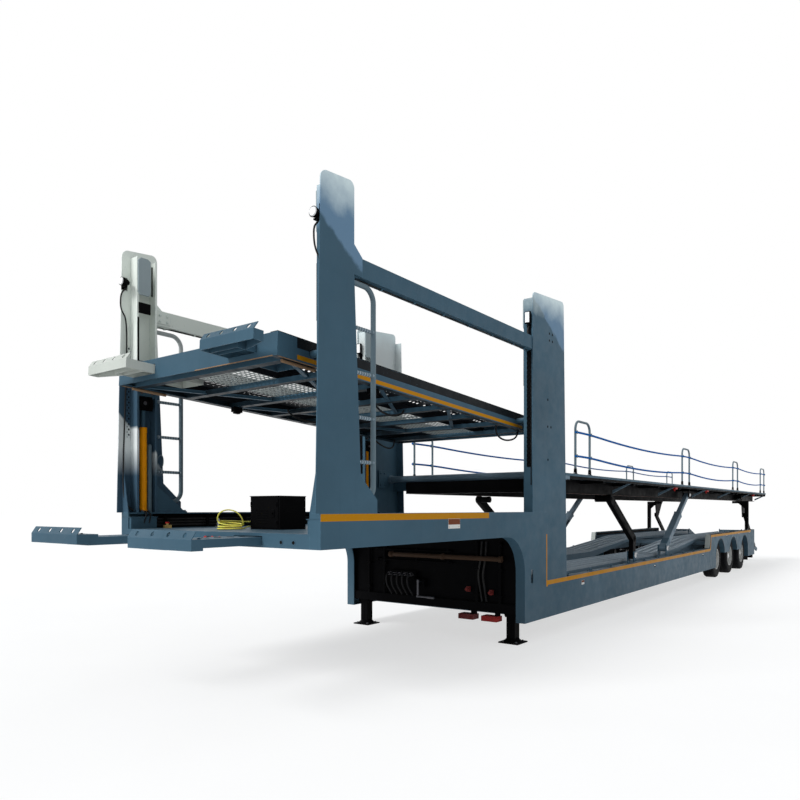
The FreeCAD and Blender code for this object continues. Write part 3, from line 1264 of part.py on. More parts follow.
def foot_brackets():
    """Cheeks and pins on the side frames for the arms' and the struts' feet."""
    low, thick = BRACKET_BASE
    pieces = []
    for (s, z), t0, t1 in ((ARM_FOOT, ARM_INSET, ARM_INSET + ARM_THICK),
                           (STRUT_FOOT, STRUT_INSET, STRUT_INSET + STRUT_SIZE)):
        outer = t0 - MOVING_GAP - CHEEK
        inner = t1 + MOVING_GAP
        half = 2 * PIN_RADIUS
        parts = [box(s - half, s + half, t, t + CHEEK, low + thick - WELD, z + half)
                 for t in (outer, inner)]
        parts.append(box(s - half - CHEEK, s + half + CHEEK, PLATE, inner + CHEEK, low, low + thick))
        parts.append(rod_y(s, z, PIN_RADIUS, outer, inner + CHEEK))
        pieces += both(joined(parts))
    return apart(pieces)


def prop_legs():
    """Folding legs at the rear that swing down as the deck rises."""
    return apart(both(link(LEG_PIN, LEG_FOOT, LEG_WIDTH, LEG_INSET, LEG_INSET + LEG_THICK, True)))


# ---- rear loading ramps ------------------------------------------------------------------------

def rear_ramp(side):
    """A ladder ramp with deep side rails and rungs, hinged behind the frame's end."""
    s0, z0 = REAR_RAMP_PIN
    half = REAR_RAMP_DEPTH / 2
    length = REAR_RAMP_LENGTH
    t0 = REAR_RAMP_INSET
    t1 = t0 + REAR_RAMP_WIDTH
    outline = [(s0 - RUNG_SIZE, z0 - half), (s0 - RUNG_SIZE, z0 + half), (s0 + length, z0 + half),
               (s0 + length, z0), (s0 + length - 2 * half, z0 - half)]
    pieces = [side_prism(outline, t, t + REAR_RAMP_RAIL) for t in (t0, t1 - REAR_RAMP_RAIL)]
    inner = t0 + REAR_RAMP_RAIL - WELD
    outer = t1 - REAR_RAMP_RAIL + WELD
    first = s0 + 1.5 * RUNG_SIZE
    pitch = (length - 2.5 * RUNG_SIZE) / (RAMP_RUNGS - 1)
    for index in range(RAMP_RUNGS):
        s = first + index * pitch
        pieces.append(box(s, s + RUNG_SIZE, inner, outer, z0 + half - RUNG_SIZE, z0 + half))
    pieces.append(rod_y(s0, z0, RAMP_PIN_RADIUS, inner, outer))
    body = joined(pieces).rotate(V(x_at(s0), 0, z0), ACROSS, -REAR_RAMP_SLOPE)
    return on_side(body, side)


def export(shape, name):
    if not shape.isValid():
        print("invalid:", name)
    shape.exportStep("parts/" + name + ".step")
    print("%-28s solids %3d  volume %8.4f m3" % (name, len(shape.Solids), shape.Volume / 1e9))


PAIRS = {"side_frame": side_frame, "front_post": front_post, "neck_post": neck_post,
         "front_lower_ramp": lower_ramp, "front_upper_ramp": upper_ramp}
SINGLES = (top_beams, ladders, gooseneck_deck, kingpin_plate, neck_bulkhead, landing_legs,
           power_cabinet, lead_gland, supply_lead, lead_coil, lead_plug, lift_barrels,
           rear_carriages, front_carriages, upper_frame, upper_tracks, lower_tracks, lower_frame,
           suspension, axles, rear_bumper, rest_posts, rear_upper_frame, rear_upper_tracks, hoops,
           bent_arms, strut_barrels, strut_rods, foot_brackets, prop_legs)


def main():
    os.makedirs("parts", exist_ok=True)
    for side_name, side in SIDES:
        for name, make in PAIRS.items():
            export(on_side(make(), side), name + "_" + side_name)
        export(rear_ramp(side), "rear_ramp_" + side_name)
        for index, station in enumerate(axle_stations(), 1):
            export(tyre(station, side), "tyre_%d_%s" % (index, side_name))
            export(rim(station, side), "rim_%d_%s" % (index, side_name))
    for make in SINGLES:
        export(make(), make.__name__)


main()
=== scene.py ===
import bpy, bmesh, math
from mathutils import Matrix, Vector


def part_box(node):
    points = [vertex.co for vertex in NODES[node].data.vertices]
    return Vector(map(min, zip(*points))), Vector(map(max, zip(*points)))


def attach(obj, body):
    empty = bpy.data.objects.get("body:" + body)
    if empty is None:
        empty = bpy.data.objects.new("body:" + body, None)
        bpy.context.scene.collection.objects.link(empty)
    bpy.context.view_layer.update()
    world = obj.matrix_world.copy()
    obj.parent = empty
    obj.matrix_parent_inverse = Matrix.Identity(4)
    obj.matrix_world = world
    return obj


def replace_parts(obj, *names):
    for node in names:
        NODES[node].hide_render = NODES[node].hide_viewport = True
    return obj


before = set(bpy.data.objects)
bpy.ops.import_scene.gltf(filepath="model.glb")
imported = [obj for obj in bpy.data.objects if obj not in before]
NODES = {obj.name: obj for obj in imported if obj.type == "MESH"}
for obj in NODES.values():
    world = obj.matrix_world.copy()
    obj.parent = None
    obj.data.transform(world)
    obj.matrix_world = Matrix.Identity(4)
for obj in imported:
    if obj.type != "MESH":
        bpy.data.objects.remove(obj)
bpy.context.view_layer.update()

# Stations run rearwards from the front posts, insets run inboard from the left side.
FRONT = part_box("side_frame_left")[1][0]
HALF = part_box("side_frame_left")[1][1]
SIDES = (1, -1)
SIDE_WORDS = ((1, "left"), (-1, "right"))
NECK_GUIDE = 3.495                             # lift guides at the neck posts
DECK_TILT = 2.8                                # front deck's slope in degrees


def at(s, t, z, side=1):
    return Vector((FRONT - s, side * (HALF - t), z))


# ---- materials --------------------------------------------------------------

class Graph:
    """A short way to write a material's nodes."""

    def __init__(self, name, **sockets):
        self.mat = bpy.data.materials.new(name)
        self.mat.use_nodes = True
        self.tree = self.mat.node_tree
        self.shader = self.tree.nodes["Principled BSDF"]
        for key, value in sockets.items():
            self.shader.inputs[key.replace("_", " ")].default_value = value
        self.place = self.node("ShaderNodeNewGeometry").outputs["Position"]

    def node(self, kind, inputs=None, **settings):
        made = self.tree.nodes.new(kind)
        for key, value in settings.items():
            setattr(made, key, value)
        for key, value in (inputs or {}).items():
            self.feed(made.inputs[key], value)
        return made

    def feed(self, socket, value):
        if isinstance(value, bpy.types.NodeSocket):
            self.tree.links.new(value, socket)
        else:
            socket.default_value = value

    def math(self, operation, a, b=0.0, clamp=False):
        made = self.node("ShaderNodeMath", {0: a, 1: b}, operation=operation, use_clamp=clamp)
        return made.outputs[0]

    def noise(self, scale, detail=4.0, stretch=None, rough=0.6):
        vector = self.place
        if stretch:
            vector = self.node("ShaderNodeMapping", {"Vector": self.place, "Scale": stretch}).outputs[0]
        return self.node("ShaderNodeTexNoise", {"Vector": vector, "Scale": scale, "Detail": detail,
                                                "Roughness": rough}).outputs["Fac"]

    def band(self, value, low, high, to_low=0.0, to_high=1.0):
        return self.node("ShaderNodeMapRange", {"Value": value, "From Min": low, "From Max": high,
                                                "To Min": to_low, "To Max": to_high}).outputs[0]

    def mix(self, factor, a, b):
        made = self.node("ShaderNodeMix", data_type="RGBA")
        self.feed(made.inputs["Factor"], factor)
        for index, value in ((6, a), (7, b)):
            self.feed(made.inputs[index], value if isinstance(value, bpy.types.NodeSocket) else (*value, 1.0))
        return made.outputs[2]

    def axis(self, index):
        return self.node("ShaderNodeSeparateXYZ", {0: self.place}).outputs[index]

    def upward(self):
        normal = self.node("ShaderNodeNewGeometry").outputs["Normal"]
        return self.node("ShaderNodeSeparateXYZ", {0: normal}).outputs[2]

    def edges(self, radius):
        """1 along sharp edges, 0 on flat faces."""
        bevel = self.node("ShaderNodeBevel", {"Radius": radius}, samples=3).outputs[0]
        normal = self.node("ShaderNodeNewGeometry").outputs["Normal"]
        made = self.node("ShaderNodeVectorMath", {0: bevel, 1: normal}, operation="DOT_PRODUCT")
        return self.band(made.outputs["Value"], 0.98, 0.8)

    def bump(self, height, strength, distance=0.002):
        made = self.node("ShaderNodeBump", {"Height": height, "Strength": strength, "Distance": distance})
        self.tree.links.new(made.outputs[0], self.shader.inputs["Normal"])

    def colour(self, value):
        self.feed(self.shader.inputs["Base Color"], value)

    def rough(self, value):
        self.feed(self.shader.inputs["Roughness"], value)


def shade(colour, factor):
    return tuple(min(1.0, c * factor) for c in colour)


def painted(name, colour, rough=0.45, dust=0.16, lit_top=0.0, wear=0.5, base=None, zones=(), shine=0.09):
    """Sprayed paint on rolled steel: drifts of tone, streaks, dust, scuffs, worn edges, and painted light and
    shade where asked.
    """
    g = Graph(name, Specular_IOR_Level=shine)
    cloud = g.noise(0.9, 5)
    tone = g.mix(g.band(cloud, 0.3, 0.7), shade(colour, 0.86), shade(colour, 1.14))
    streak = g.noise(3.0, 5, (6.0, 6.0, 0.35))
    tone = g.mix(g.band(streak, 0.56, 0.75, 0.0, 0.22), tone, shade(colour, 0.7))
    for mask, paint, strength in zones:
        tone = g.mix(g.math("MULTIPLY", mask(g), strength), tone, paint)
    # Painted light: the upper ends turn pale towards the top, with a ragged edge.
    if lit_top:
        height = g.math("ADD", g.axis(2), g.band(g.noise(3.0, 6), 0.3, 0.7, -0.07, 0.07))
        tone = g.mix(g.band(height, lit_top[0], lit_top[1], 0.0, lit_top[2]), tone, (0.72, 0.84, 0.86))
    speck = g.band(g.noise(70.0, 3), 0.68, 0.74, 0.0, 0.5)
    tone = g.mix(speck, tone, shade(colour, 1.7))
    grime = g.math("MULTIPLY", g.band(g.upward(), 0.3, 0.95), g.band(g.noise(5.0, 6), 0.35, 0.65, 0.3, 1.0))
    low = g.band(g.axis(2), 0.9, 0.1, 0.0, dust)
    low = g.math("MULTIPLY", low, g.band(cloud, 0.3, 0.7))
    grime = g.math("ADD", g.math("MULTIPLY", grime, dust), low, True)
    tone = g.mix(grime, tone, (0.25, 0.26, 0.26))
    worn = g.math("MULTIPLY", g.edges(0.008), g.band(g.noise(22.0, 5), 0.42, 0.62))
    tone = g.mix(g.math("MULTIPLY", worn, wear), tone, base or shade(colour, 2.2))
    g.colour(tone)
    g.rough(g.band(g.noise(9.0, 4), 0.3, 0.7, rough - 0.09, rough + 0.13))
    g.bump(g.noise(160.0, 2), 0.06, 0.001)
    return g.mat


def bare_metal(name, colour, rough, scale=40.0, metallic=0.85):
    g = Graph(name, Metallic=metallic)
    brushed = g.noise(scale, 4, (0.2, 1.0, 1.0))
    tone = g.mix(g.band(brushed, 0.3, 0.7), shade(colour, 0.82), shade(colour, 1.12))
    tone = g.mix(g.band(g.noise(6.0, 5), 0.6, 0.75, 0.0, 0.35), tone, (0.2, 0.16, 0.12))
    g.colour(tone)
    g.rough(g.band(brushed, 0.3, 0.7, rough - 0.07, rough + 0.12))
    g.bump(brushed, 0.05, 0.0008)
    return g.mat


def rubbery(name, colour, rough=0.8, dust=0.4):
    g = Graph(name, Specular_IOR_Level=0.12)
    tone = g.mix(g.band(g.noise(18.0, 5), 0.35, 0.7), colour, shade(colour, 1.8))
    tone = g.mix(g.band(g.noise(3.0, 6), 0.45, 0.75, 0.0, dust), tone, (0.22, 0.21, 0.19))
    g.colour(tone)
    g.rough(g.band(g.noise(30.0, 3), 0.3, 0.7, rough - 0.1, rough + 0.1))
    g.bump(g.noise(220.0, 2), 0.12, 0.001)
    return g.mat


def lens(name, colour, glow=0.0):
    """Ribbed moulded plastic of a lamp or reflector."""
    g = Graph(name, Roughness=0.18, Coat_Weight=0.6, Coat_Roughness=0.08, IOR=1.49)
    ribs = g.node("ShaderNodeTexWave", {"Vector": g.place, "Scale": 42.0, "Distortion": 0.4}).outputs["Fac"]
    g.colour(g.mix(ribs, shade(colour, 0.75), shade(colour, 1.2)))
    g.bump(ribs, 0.25, 0.001)
    if glow:
        g.shader.inputs["Emission Color"].default_value = (*colour, 1.0)
        g.shader.inputs["Emission Strength"].default_value = glow
    return g.mat


def woven(name, colour):
    """Laid rope: slanting strands with light fibres."""
    g = Graph(name, Roughness=0.75, Specular_IOR_Level=0.1)
    lay = g.node("ShaderNodeTexWave", {"Vector": g.place, "Scale": 38.0, "Distortion": 1.5},
                 bands_direction="DIAGONAL").outputs["Fac"]
    g.colour(g.mix(lay, shade(colour, 0.6), shade(colour, 1.35)))
    g.bump(lay, 0.5, 0.002)
    return g.mat


BLUE_GREY = (0.048, 0.102, 0.146)
OCHRE = (0.47, 0.2, 0.0)
BLACK = (0.003, 0.003, 0.0035)


def between(g, value, low, high, soft=0.0015):
    return g.math("MULTIPLY", g.band(value, low - soft, low + soft), g.band(value, high + soft, high - soft))


def union(g, *masks):
    total = masks[0]
    for mask in masks[1:]:
        total = g.math("MAXIMUM", total, mask)
    return total


def side_stripes(g):
    """Ochre tape along the gooseneck, down the neck, and along the lower beam and the covers."""
    x = g.axis(0)
    z = g.axis(2)
    outer = g.band(g.math("ABSOLUTE", g.axis(1)), HALF - 0.003, HALF - 0.001)
    neck = g.math("MULTIPLY", between(g, z, 1.398, 1.452), between(g, x, FRONT - 2.4, FRONT))
    drop = g.math("MULTIPLY", between(g, x, FRONT - 3.76, FRONT - 3.715), between(g, z, 0.6, 1.2))
    belly = g.math("MULTIPLY", between(g, z, 0.618, 0.668), between(g, x, FRONT - 11.56, FRONT - 3.715))
    slant = g.math("ADD", x, g.math("MULTIPLY", z, 0.25))
    rise = g.math("MULTIPLY", between(g, z, 0.64, 0.95), between(g, slant, FRONT - 11.44, FRONT - 11.39))
    cover = g.math("MULTIPLY", between(g, z, 0.9, 0.948), between(g, x, FRONT - 15.9, FRONT - 11.62))
    return g.math("MULTIPLY", outer, union(g, neck, drop, belly, rise, cover))


def right_glare(g):
    """Painted glare: the right side above the front deck, lit nearly white."""
    return g.math("MULTIPLY", g.band(g.axis(1), -1.0, -1.1), g.band(g.axis(2), 2.8, 2.9))


def painted_sky_light(g):
    """Painted sky light: lighter blue below the posts' pale lit tops, with a slanting lower edge."""
    s = g.math("SUBTRACT", FRONT, g.axis(0))
    s = g.math("SUBTRACT", s, g.math("MULTIPLY", g.math("GREATER_THAN", s, 2.0), 3.8))
    edge = g.math("ADD", g.axis(2), g.math("MULTIPLY", s, 0.6))
    return g.band(g.math("ADD", edge, g.band(g.noise(5.0, 4), 0.3, 0.7, -0.04, 0.04)), 3.57, 3.61)


def reflected_light_patch(g):
    """A painted pool of reflected light low on the right front post, fading out downwards."""
    s = g.math("SUBTRACT", FRONT, g.axis(0))
    edge = g.math("ADD", g.axis(2), g.math("MULTIPLY", s, 1.1))
    return g.math("MULTIPLY", g.band(edge, 2.36, 2.33), g.band(g.axis(2), 1.8, 2.06))


def under_deck_shade(g):
    """Painted shade on the front deck's undersides and on the members of its right half."""
    right = g.math("MULTIPLY", g.band(g.axis(1), -0.2, -0.4), g.band(g.axis(0), FRONT - 0.1, FRONT - 0.2))
    shadow_mask = union(g, g.band(g.upward(), -0.5, -0.95), right)
    return g.math("MULTIPLY", shadow_mask, g.band(g.noise(2.0, 4), 0.3, 0.6, 0.75, 1.0))


def deck_stripe(g):
    """Ochre tape, and a black band of painted shade, along the front deck's side channels, which tilt with
    it.
    """
    slope = math.tan(math.radians(DECK_TILT))
    ahead = g.math("SUBTRACT", g.axis(0), FRONT - NECK_GUIDE)
    rise = g.math("SUBTRACT", g.axis(2), g.math("MULTIPLY", ahead, slope))
    outer = g.band(g.math("ABSOLUTE", g.axis(1)), HALF - 0.262, HALF - 0.257)
    length = between(g, g.axis(0), FRONT - 3.62, FRONT - 0.02)
    return rise, g.math("MULTIPLY", outer, length)


def deck_tape(g):
    rise, mask = deck_stripe(g)
    return g.math("MULTIPLY", mask, between(g, rise, 2.418, 2.452))


# Painted shade: the upper part of each side channel's outer face painted black.
def channel_shade(g):
    rise, mask = deck_stripe(g)
    return g.math("MULTIPLY", mask, between(g, rise, 2.502, 2.60))


# Some looks paint light and shade into their colour: painted glare on the right side's upper parts, painted
# sky light and pale lit tops on the posts, a painted pool of reflected light low on the right front post, and
# painted shade under the front deck and along its side channels.
MAT = {
    "frame": painted("frame_blue_grey", BLUE_GREY),
    "side": painted("side_blue_grey", BLUE_GREY, zones=((side_stripes, OCHRE, 1.0),)),
    # Posts: painted pale lit tops, painted sky light below them, and painted glare on the right neck post.
    "post": painted("post_blue_grey", BLUE_GREY, lit_top=(3.66, 3.92, 0.92),
                    zones=((painted_sky_light, (0.15, 0.26, 0.39), 0.8), (right_glare, (0.66, 0.7, 0.69), 0.9))),
    # Painted glare on the right top beam.
    "beams": painted("beam_blue_grey", BLUE_GREY, zones=((right_glare, (0.72, 0.77, 0.71), 0.95),)),
    # Painted shade under the front deck and on the upper part of its side channels, with real ochre tape.
    "upper": painted("deck_blue_grey", BLUE_GREY, zones=((under_deck_shade, (0.004, 0.006, 0.008), 0.9),
                                                         (channel_shade, BLACK, 0.96), (deck_tape, OCHRE, 1.0))),
    # Right front post: painted glare high up and a painted pool of reflected light low down.
    "pale": painted("pale_blue_grey", (0.045, 0.09, 0.135),
                    zones=((right_glare, (0.8, 0.85, 0.79), 0.97), (reflected_light_patch, (0.8, 0.84, 0.83), 0.9))),
    # Painted glare: the right upper ramp is painted near white as if strongly lit.
    "glare_lit": painted("glare_lit_grey", (0.52, 0.55, 0.51), rough=0.5, dust=0.1, base=(0.2, 0.22, 0.22)),
    "light": painted("strut_blue", (0.12, 0.18, 0.23), rough=0.38),
    "track": painted("track_grey", (0.32, 0.38, 0.43), rough=0.5, dust=0.2, wear=0.6),
    "dark_track": painted("track_black", (0.012, 0.014, 0.018), rough=0.5, dust=0.05, wear=0.3),
    "black": painted("chassis_black", BLACK, rough=0.45, dust=0.0, wear=0.15, base=(0.05, 0.05, 0.05),
                     shine=0.02),
    "orange": painted("cylinder_orange", (0.95, 0.33, 0.0), rough=0.3, dust=0.02, wear=0.2,
                      base=(0.5, 0.3, 0.1)),
    "white": painted("rim_white", (0.66, 0.66, 0.64), rough=0.35, dust=0.3, wear=0.4, base=(0.3, 0.2, 0.14)),
    # Painted glare on the right ladder and hoops.
    "grey": painted("tube_grey", (0.12, 0.17, 0.2), rough=0.4, zones=((right_glare, (0.5, 0.53, 0.52), 0.8),)),
    "red": painted("lock_red", (0.42, 0.015, 0.012), rough=0.4, base=(0.2, 0.1, 0.08)),
    "ochre": painted("ochre_tape", OCHRE, rough=0.45, dust=0.2),
    "beige": painted("primer_beige", (0.27, 0.17, 0.1), rough=0.6, dust=0.1),
    "zinc": bare_metal("zinc", (0.55, 0.56, 0.57), 0.42),
    "dull": bare_metal("dull_steel", (0.09, 0.09, 0.1), 0.5),
    "brown": painted("flange_brown", (0.16, 0.045, 0.02), rough=0.5, dust=0.1),
    "brass": bare_metal("brass_union", (0.55, 0.38, 0.14), 0.35),
    "tyre": rubbery("tyre_rubber", (0.005, 0.005, 0.006), 0.8, 0.08),
    "hose": rubbery("hose_rubber", (0.01, 0.01, 0.011), 0.6, 0.15),
    "rope": woven("rope_blue", (0.0, 0.1, 0.36)),
    "lead": rubbery("lead_yellow", (0.68, 0.56, 0.1), 0.5, 0.1),
    "amber": lens("amber_lens", (0.85, 0.28, 0.01)),
    "red_lens": lens("red_lens", (0.6, 0.01, 0.01)),
    "white_lens": lens("white_lens", (0.85, 0.86, 0.88)),
    "cover": painted("cover_pale", (0.3, 0.36, 0.38), rough=0.5, wear=0.6),
    "panel": painted("panel_pale", (0.42, 0.45, 0.43), rough=0.5, dust=0.2),
    "walk": painted("walkway_grey", (0.1, 0.13, 0.15), rough=0.55, dust=0.5, wear=0.8),
    "rusty": painted("rusty_tube", (0.06, 0.035, 0.022), rough=0.6, dust=0.05),
    "dark_red": painted("lock_dark_red", (0.16, 0.02, 0.018), rough=0.5),
    "hole": painted("hole_shadow", (0.006, 0.006, 0.007), rough=0.9, dust=0.0, wear=0.0),
    "plate": painted("bare_plate", (0.7, 0.7, 0.68), rough=0.3, dust=0.1, wear=0.2),
}

NODE_LOOKS = {
    "frame": "gooseneck_deck foot_brackets rear_carriages front_carriages front_upper_ramp_left "
             "front_lower_ramp_left front_lower_ramp_right rear_ramp_left rear_ramp_right",
    "black": "kingpin_plate neck_bulkhead landing_legs power_cabinet suspension rear_bumper rest_posts axles "
             "rear_upper_frame bent_arms prop_legs",
    "post": "front_post_left neck_post_left neck_post_right",
    "side": "side_frame_left side_frame_right",
    "light": "lower_frame strut_barrels strut_rods",
    "dark_track": "upper_tracks rear_upper_tracks",
    "grey": "ladders hoops",
    "lead": "supply_lead lead_coil",
    "hose": "lead_gland lead_plug",
    "pale": "front_post_right",
    # The right upper ramp takes the painted glare.
    "glare_lit": "front_upper_ramp_right",
    "beams": "top_beams",
    "upper": "upper_frame",
    "track": "lower_tracks",
    "orange": "lift_barrels",
}
NODE_LOOK = {name: look for look, names in NODE_LOOKS.items() for name in names.split()}
for name, node in NODES.items():
    look = NODE_LOOK.get(name) or ("tyre" if name.startswith("tyre") else "white")
    node.data.materials.clear()
    node.data.materials.append(MAT[look])


# ---- mesh building --------------------------------------------------------------

class Piece:
    """Collects solids in one mesh; close() makes the object and rides it on its body.

    slab, bar, studs and plate take places as (station, inset, height) and build both sides.
    """

    def __init__(self, name, look, body="root"):
        self.name, self.look, self.body = name, look, body
        self.bm = bmesh.new()

    def block(self, low, high, turn=None):
        """A box between two corners, turned about its middle if asked."""
        low, high = Vector(low), Vector(high)
        low, high = Vector(map(min, low, high)), Vector(map(max, low, high))
        middle = (low + high) / 2
        made = bmesh.ops.create_cube(self.bm, size=1.0)["verts"]
        bmesh.ops.transform(self.bm, verts=made, matrix=Matrix.Translation(middle)
                            @ Matrix.Diagonal((*(high - low), 1.0)))
        if turn is not None:
            bmesh.ops.rotate(self.bm, verts=made, cent=middle, matrix=turn)

    def rod(self, start, end, radius, segments=16, radius_end=None):
        """A cylinder or cone between two points."""
        start, end = Vector(start), Vector(end)
        run = end - start
        made = bmesh.ops.create_cone(self.bm, cap_ends=True, segments=segments, radius1=radius,
                                     radius2=radius if radius_end is None else radius_end,
                                     depth=run.length)["verts"]
        spin = run.to_track_quat("Z", "Y").to_matrix().to_4x4()
        bmesh.ops.transform(self.bm, verts=made, matrix=Matrix.Translation((start + end) / 2) @ spin)

    def bolt(self, place, axis, radius, height, washer=True):
        """A hexagon head on its washer."""
        axis = Vector(axis).normalized()
        place = Vector(place)
        if washer:
            self.rod(place, place + axis * 0.003, radius * 1.5, 18)
            place = place + axis * 0.003
        self.rod(place, place + axis * height, radius, 6, radius * 0.94)

    def prism(self, points, offset):
        """A flat outline pushed along a vector."""
        verts = [self.bm.verts.new(p) for p in points]
        face = self.bm.faces.new(verts)
        grown = bmesh.ops.extrude_face_region(self.bm, geom=[face])["geom"]
        bmesh.ops.translate(self.bm, verts=[v for v in grown if isinstance(v, bmesh.types.BMVert)],
                            vec=Vector(offset))

    def slab(self, s0, s1, t0, t1, z0, z1):
        for side in SIDES:
            self.block(at(s0, t0, z0, side), at(s1, t1, z1, side))

    def bar(self, start, end, radius, segments=16, radius_end=None):
        for side in SIDES:
            self.rod(at(*start, side), at(*end, side), radius, segments, radius_end)

    def studs(self, places, axis, radius, height):
        """Bolts on both sides; the axis's second number points outboard."""
        for s, t, z in places:
            for side in SIDES:
                self.bolt(at(s, t, z, side), (axis[0], side * axis[1], axis[2]), radius, height)

    def plate(self, points, inset, depth):
        """An upright outline of (station, height) points, pushed inboard by its depth."""
        for side in SIDES:
            self.prism([at(s, inset, z, side) for s, z in points], (0, -side * depth, 0))

    def ring(self, profile, centre, axis_side, segments):
        """Turns a closed (radius, depth) profile about the axle line through a point."""
        centre = Vector(centre)
        loops = []
        for angle in turns(segments):
            loops.append([self.bm.verts.new(centre + spoke(angle) * r - outboard(axis_side) * d)
                          for r, d in profile])
        for a, b in zip(loops, loops[1:] + loops[:1]):
            for k in range(len(profile)):
                m = (k + 1) % len(profile)
                self.bm.faces.new((a[k], a[m], b[m], b[k]))

    def tilt(self):
        """Tilts a level front deck piece about the deck's rear pins."""
        bmesh.ops.rotate(self.bm, verts=self.bm.verts, cent=PIVOT, matrix=TILT)

    def close(self, bevel, smooth=False):
        bmesh.ops.recalc_face_normals(self.bm, faces=self.bm.faces)
        mesh = bpy.data.meshes.new(self.name)
        self.bm.to_mesh(mesh)
        self.bm.free()
        mesh.materials.append(MAT[self.look])
        for polygon in mesh.polygons:
            polygon.use_smooth = smooth
        piece = bpy.data.objects.new(self.name, mesh)
        if bevel:
            round_off = piece.modifiers.new("edges", "BEVEL")
            round_off.width = bevel
            round_off.segments = 2
            round_off.limit_method = "ANGLE"
            round_off.angle_limit = math.radians(40)
        return settle(piece, self.body)


def close(bevel, *pieces):
    for piece in pieces:
        piece.close(bevel)


def link(item):
    bpy.context.scene.collection.objects.link(item)
    return item


def settle(piece, body):
    """Puts a piece in the scene and on its body."""
    link(piece)
    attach(piece, body)
    return piece


def tube(name, look, runs, radius, body="root", sides=3, steps=8):
    """Round tubes along smooth curves through control points."""
    data = bpy.data.curves.new(name, "CURVE")
    data.dimensions = "3D"
    data.bevel_depth = radius
    data.bevel_resolution = sides
    data.use_fill_caps = True
    for run in runs:
        spline = data.splines.new("NURBS")
        spline.points.add(len(run) - 1)
        for point, place in zip(spline.points, run):
            point.co = (*place, 1.0)
        spline.order_u = min(3, len(run))
        spline.use_endpoint_u = True
        spline.resolution_u = steps
    data.materials.append(MAT[look])
    return settle(bpy.data.objects.new(name, data), body)


def turns(count, first=0.0):
    """Even angles round a circle."""
    return [2 * math.pi * (n + first) / count for n in range(count)]


def spoke(angle):
    """A unit vector square to the axles, straight up at angle 0."""
    return Vector((math.sin(angle), 0.0, math.cos(angle)))


def outboard(side):
    return Vector((0.0, side, 0.0))


def path(side, *points):
    return [at(*point, side) for point in points]


# ---- camera, floor and light --------------------------------------------------------

camera = link(bpy.data.objects.new("camera", bpy.data.cameras.new("camera")))
camera.location = (FRONT + 3.53, 4.64, 1.49)
camera.rotation_mode = "QUATERNION"
camera.rotation_quaternion = Vector((-0.7986, -0.6018, 0.0)).to_track_quat("-Z", "Y")
camera.data.lens = 30.74
camera.data.sensor_width = 36.0
camera.data.shift_y = 0.136
camera.data.clip_end = 400.0
bpy.context.scene.camera = camera


def seen_share(g):
    """1 for rays that the camera sees straight, mirrored or through glass, 0 for the rest."""
    path = g.node("ShaderNodeLightPath").outputs
    straight = g.math("ADD", path["Is Camera Ray"], path["Is Glossy Ray"])
    return g.math("ADD", straight, path["Is Transmission Ray"], True)


def plain_stage():
    """A pale floor that the camera sees nearly white."""
    mesh = bpy.data.meshes.new("floor")
    mesh.from_pydata([(-150, -150, 0), (150, -150, 0), (150, 150, 0), (-150, 150, 0)], [], [(0, 1, 2, 3)])
    g = Graph("floor_pale", Roughness=0.9, Specular_IOR_Level=0.1)
    g.colour(g.mix(g.band(g.noise(0.6, 4), 0.3, 0.7), (0.86, 0.86, 0.86), (0.9, 0.9, 0.9)))
    white = g.node("ShaderNodeEmission", {"Strength": 1.12}).outputs[0]
    mixed = g.node("ShaderNodeMixShader", {0: g.math("MULTIPLY", seen_share(g), 0.55),
                                           1: g.shader.outputs[0], 2: white})
    g.tree.links.new(mixed.outputs[0], g.tree.nodes["Material Output"].inputs["Surface"])
    mesh.materials.append(g.mat)
    link(bpy.data.objects.new("floor", mesh))


def soft_light():
    """A white surround that lights the scene softly, and two broad suns."""
    world = bpy.data.worlds.new("world")
    bpy.context.scene.world = world
    world.use_nodes = True
    tree = world.node_tree
    tree.nodes.clear()

    def wire(kind, inputs, **settings):
        made = tree.nodes.new(kind)
        for key, value in settings.items():
            setattr(made, key, value)
        for key, value in inputs.items():
            if isinstance(value, bpy.types.NodeSocket):
                tree.links.new(value, made.inputs[key])
            else:
                made.inputs[key].default_value = value
        return made.outputs[0] if made.outputs else made

    path = tree.nodes.new("ShaderNodeLightPath").outputs
    seen = wire("ShaderNodeMath", {0: path["Is Camera Ray"], 1: path["Is Glossy Ray"]}, operation="ADD")
    seen = wire("ShaderNodeMath", {0: seen, 1: path["Is Transmission Ray"]}, operation="ADD", use_clamp=True)
    lit = wire("ShaderNodeBackground", {"Color": (0.93, 0.97, 1.0, 1.0), "Strength": 0.5})
    shown = wire("ShaderNodeBackground", {"Color": (1.0, 1.0, 1.0, 1.0)})
    wire("ShaderNodeOutputWorld", {"Surface": wire("ShaderNodeMixShader", {0: seen, 1: lit, 2: shown})})
    for name, energy, direction, spread in (("key", 2.3, (-0.72, 0.25, -0.65), 24.0),
                                            ("fill", 0.25, (0.1, -0.9, -0.35), 60.0)):
        lamp = bpy.data.lights.new(name, "SUN")
        lamp.energy = energy
        lamp.angle = math.radians(spread)
        sun = link(bpy.data.objects.new(name, lamp))
        sun.rotation_mode = "QUATERNION"
        sun.rotation_quaternion = Vector(direction).to_track_quat("-Z", "Y")


plain_stage()
soft_light()
bpy.context.scene.view_settings.view_transform = "Standard"


# ---- places on the trailer, in metres -------------------------------------------

def reach(node):
    """A node's front and rear stations, and its lowest and highest points."""
    low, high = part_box(node)
    return FRONT - high[0], FRONT - low[0], low[2], high[2]


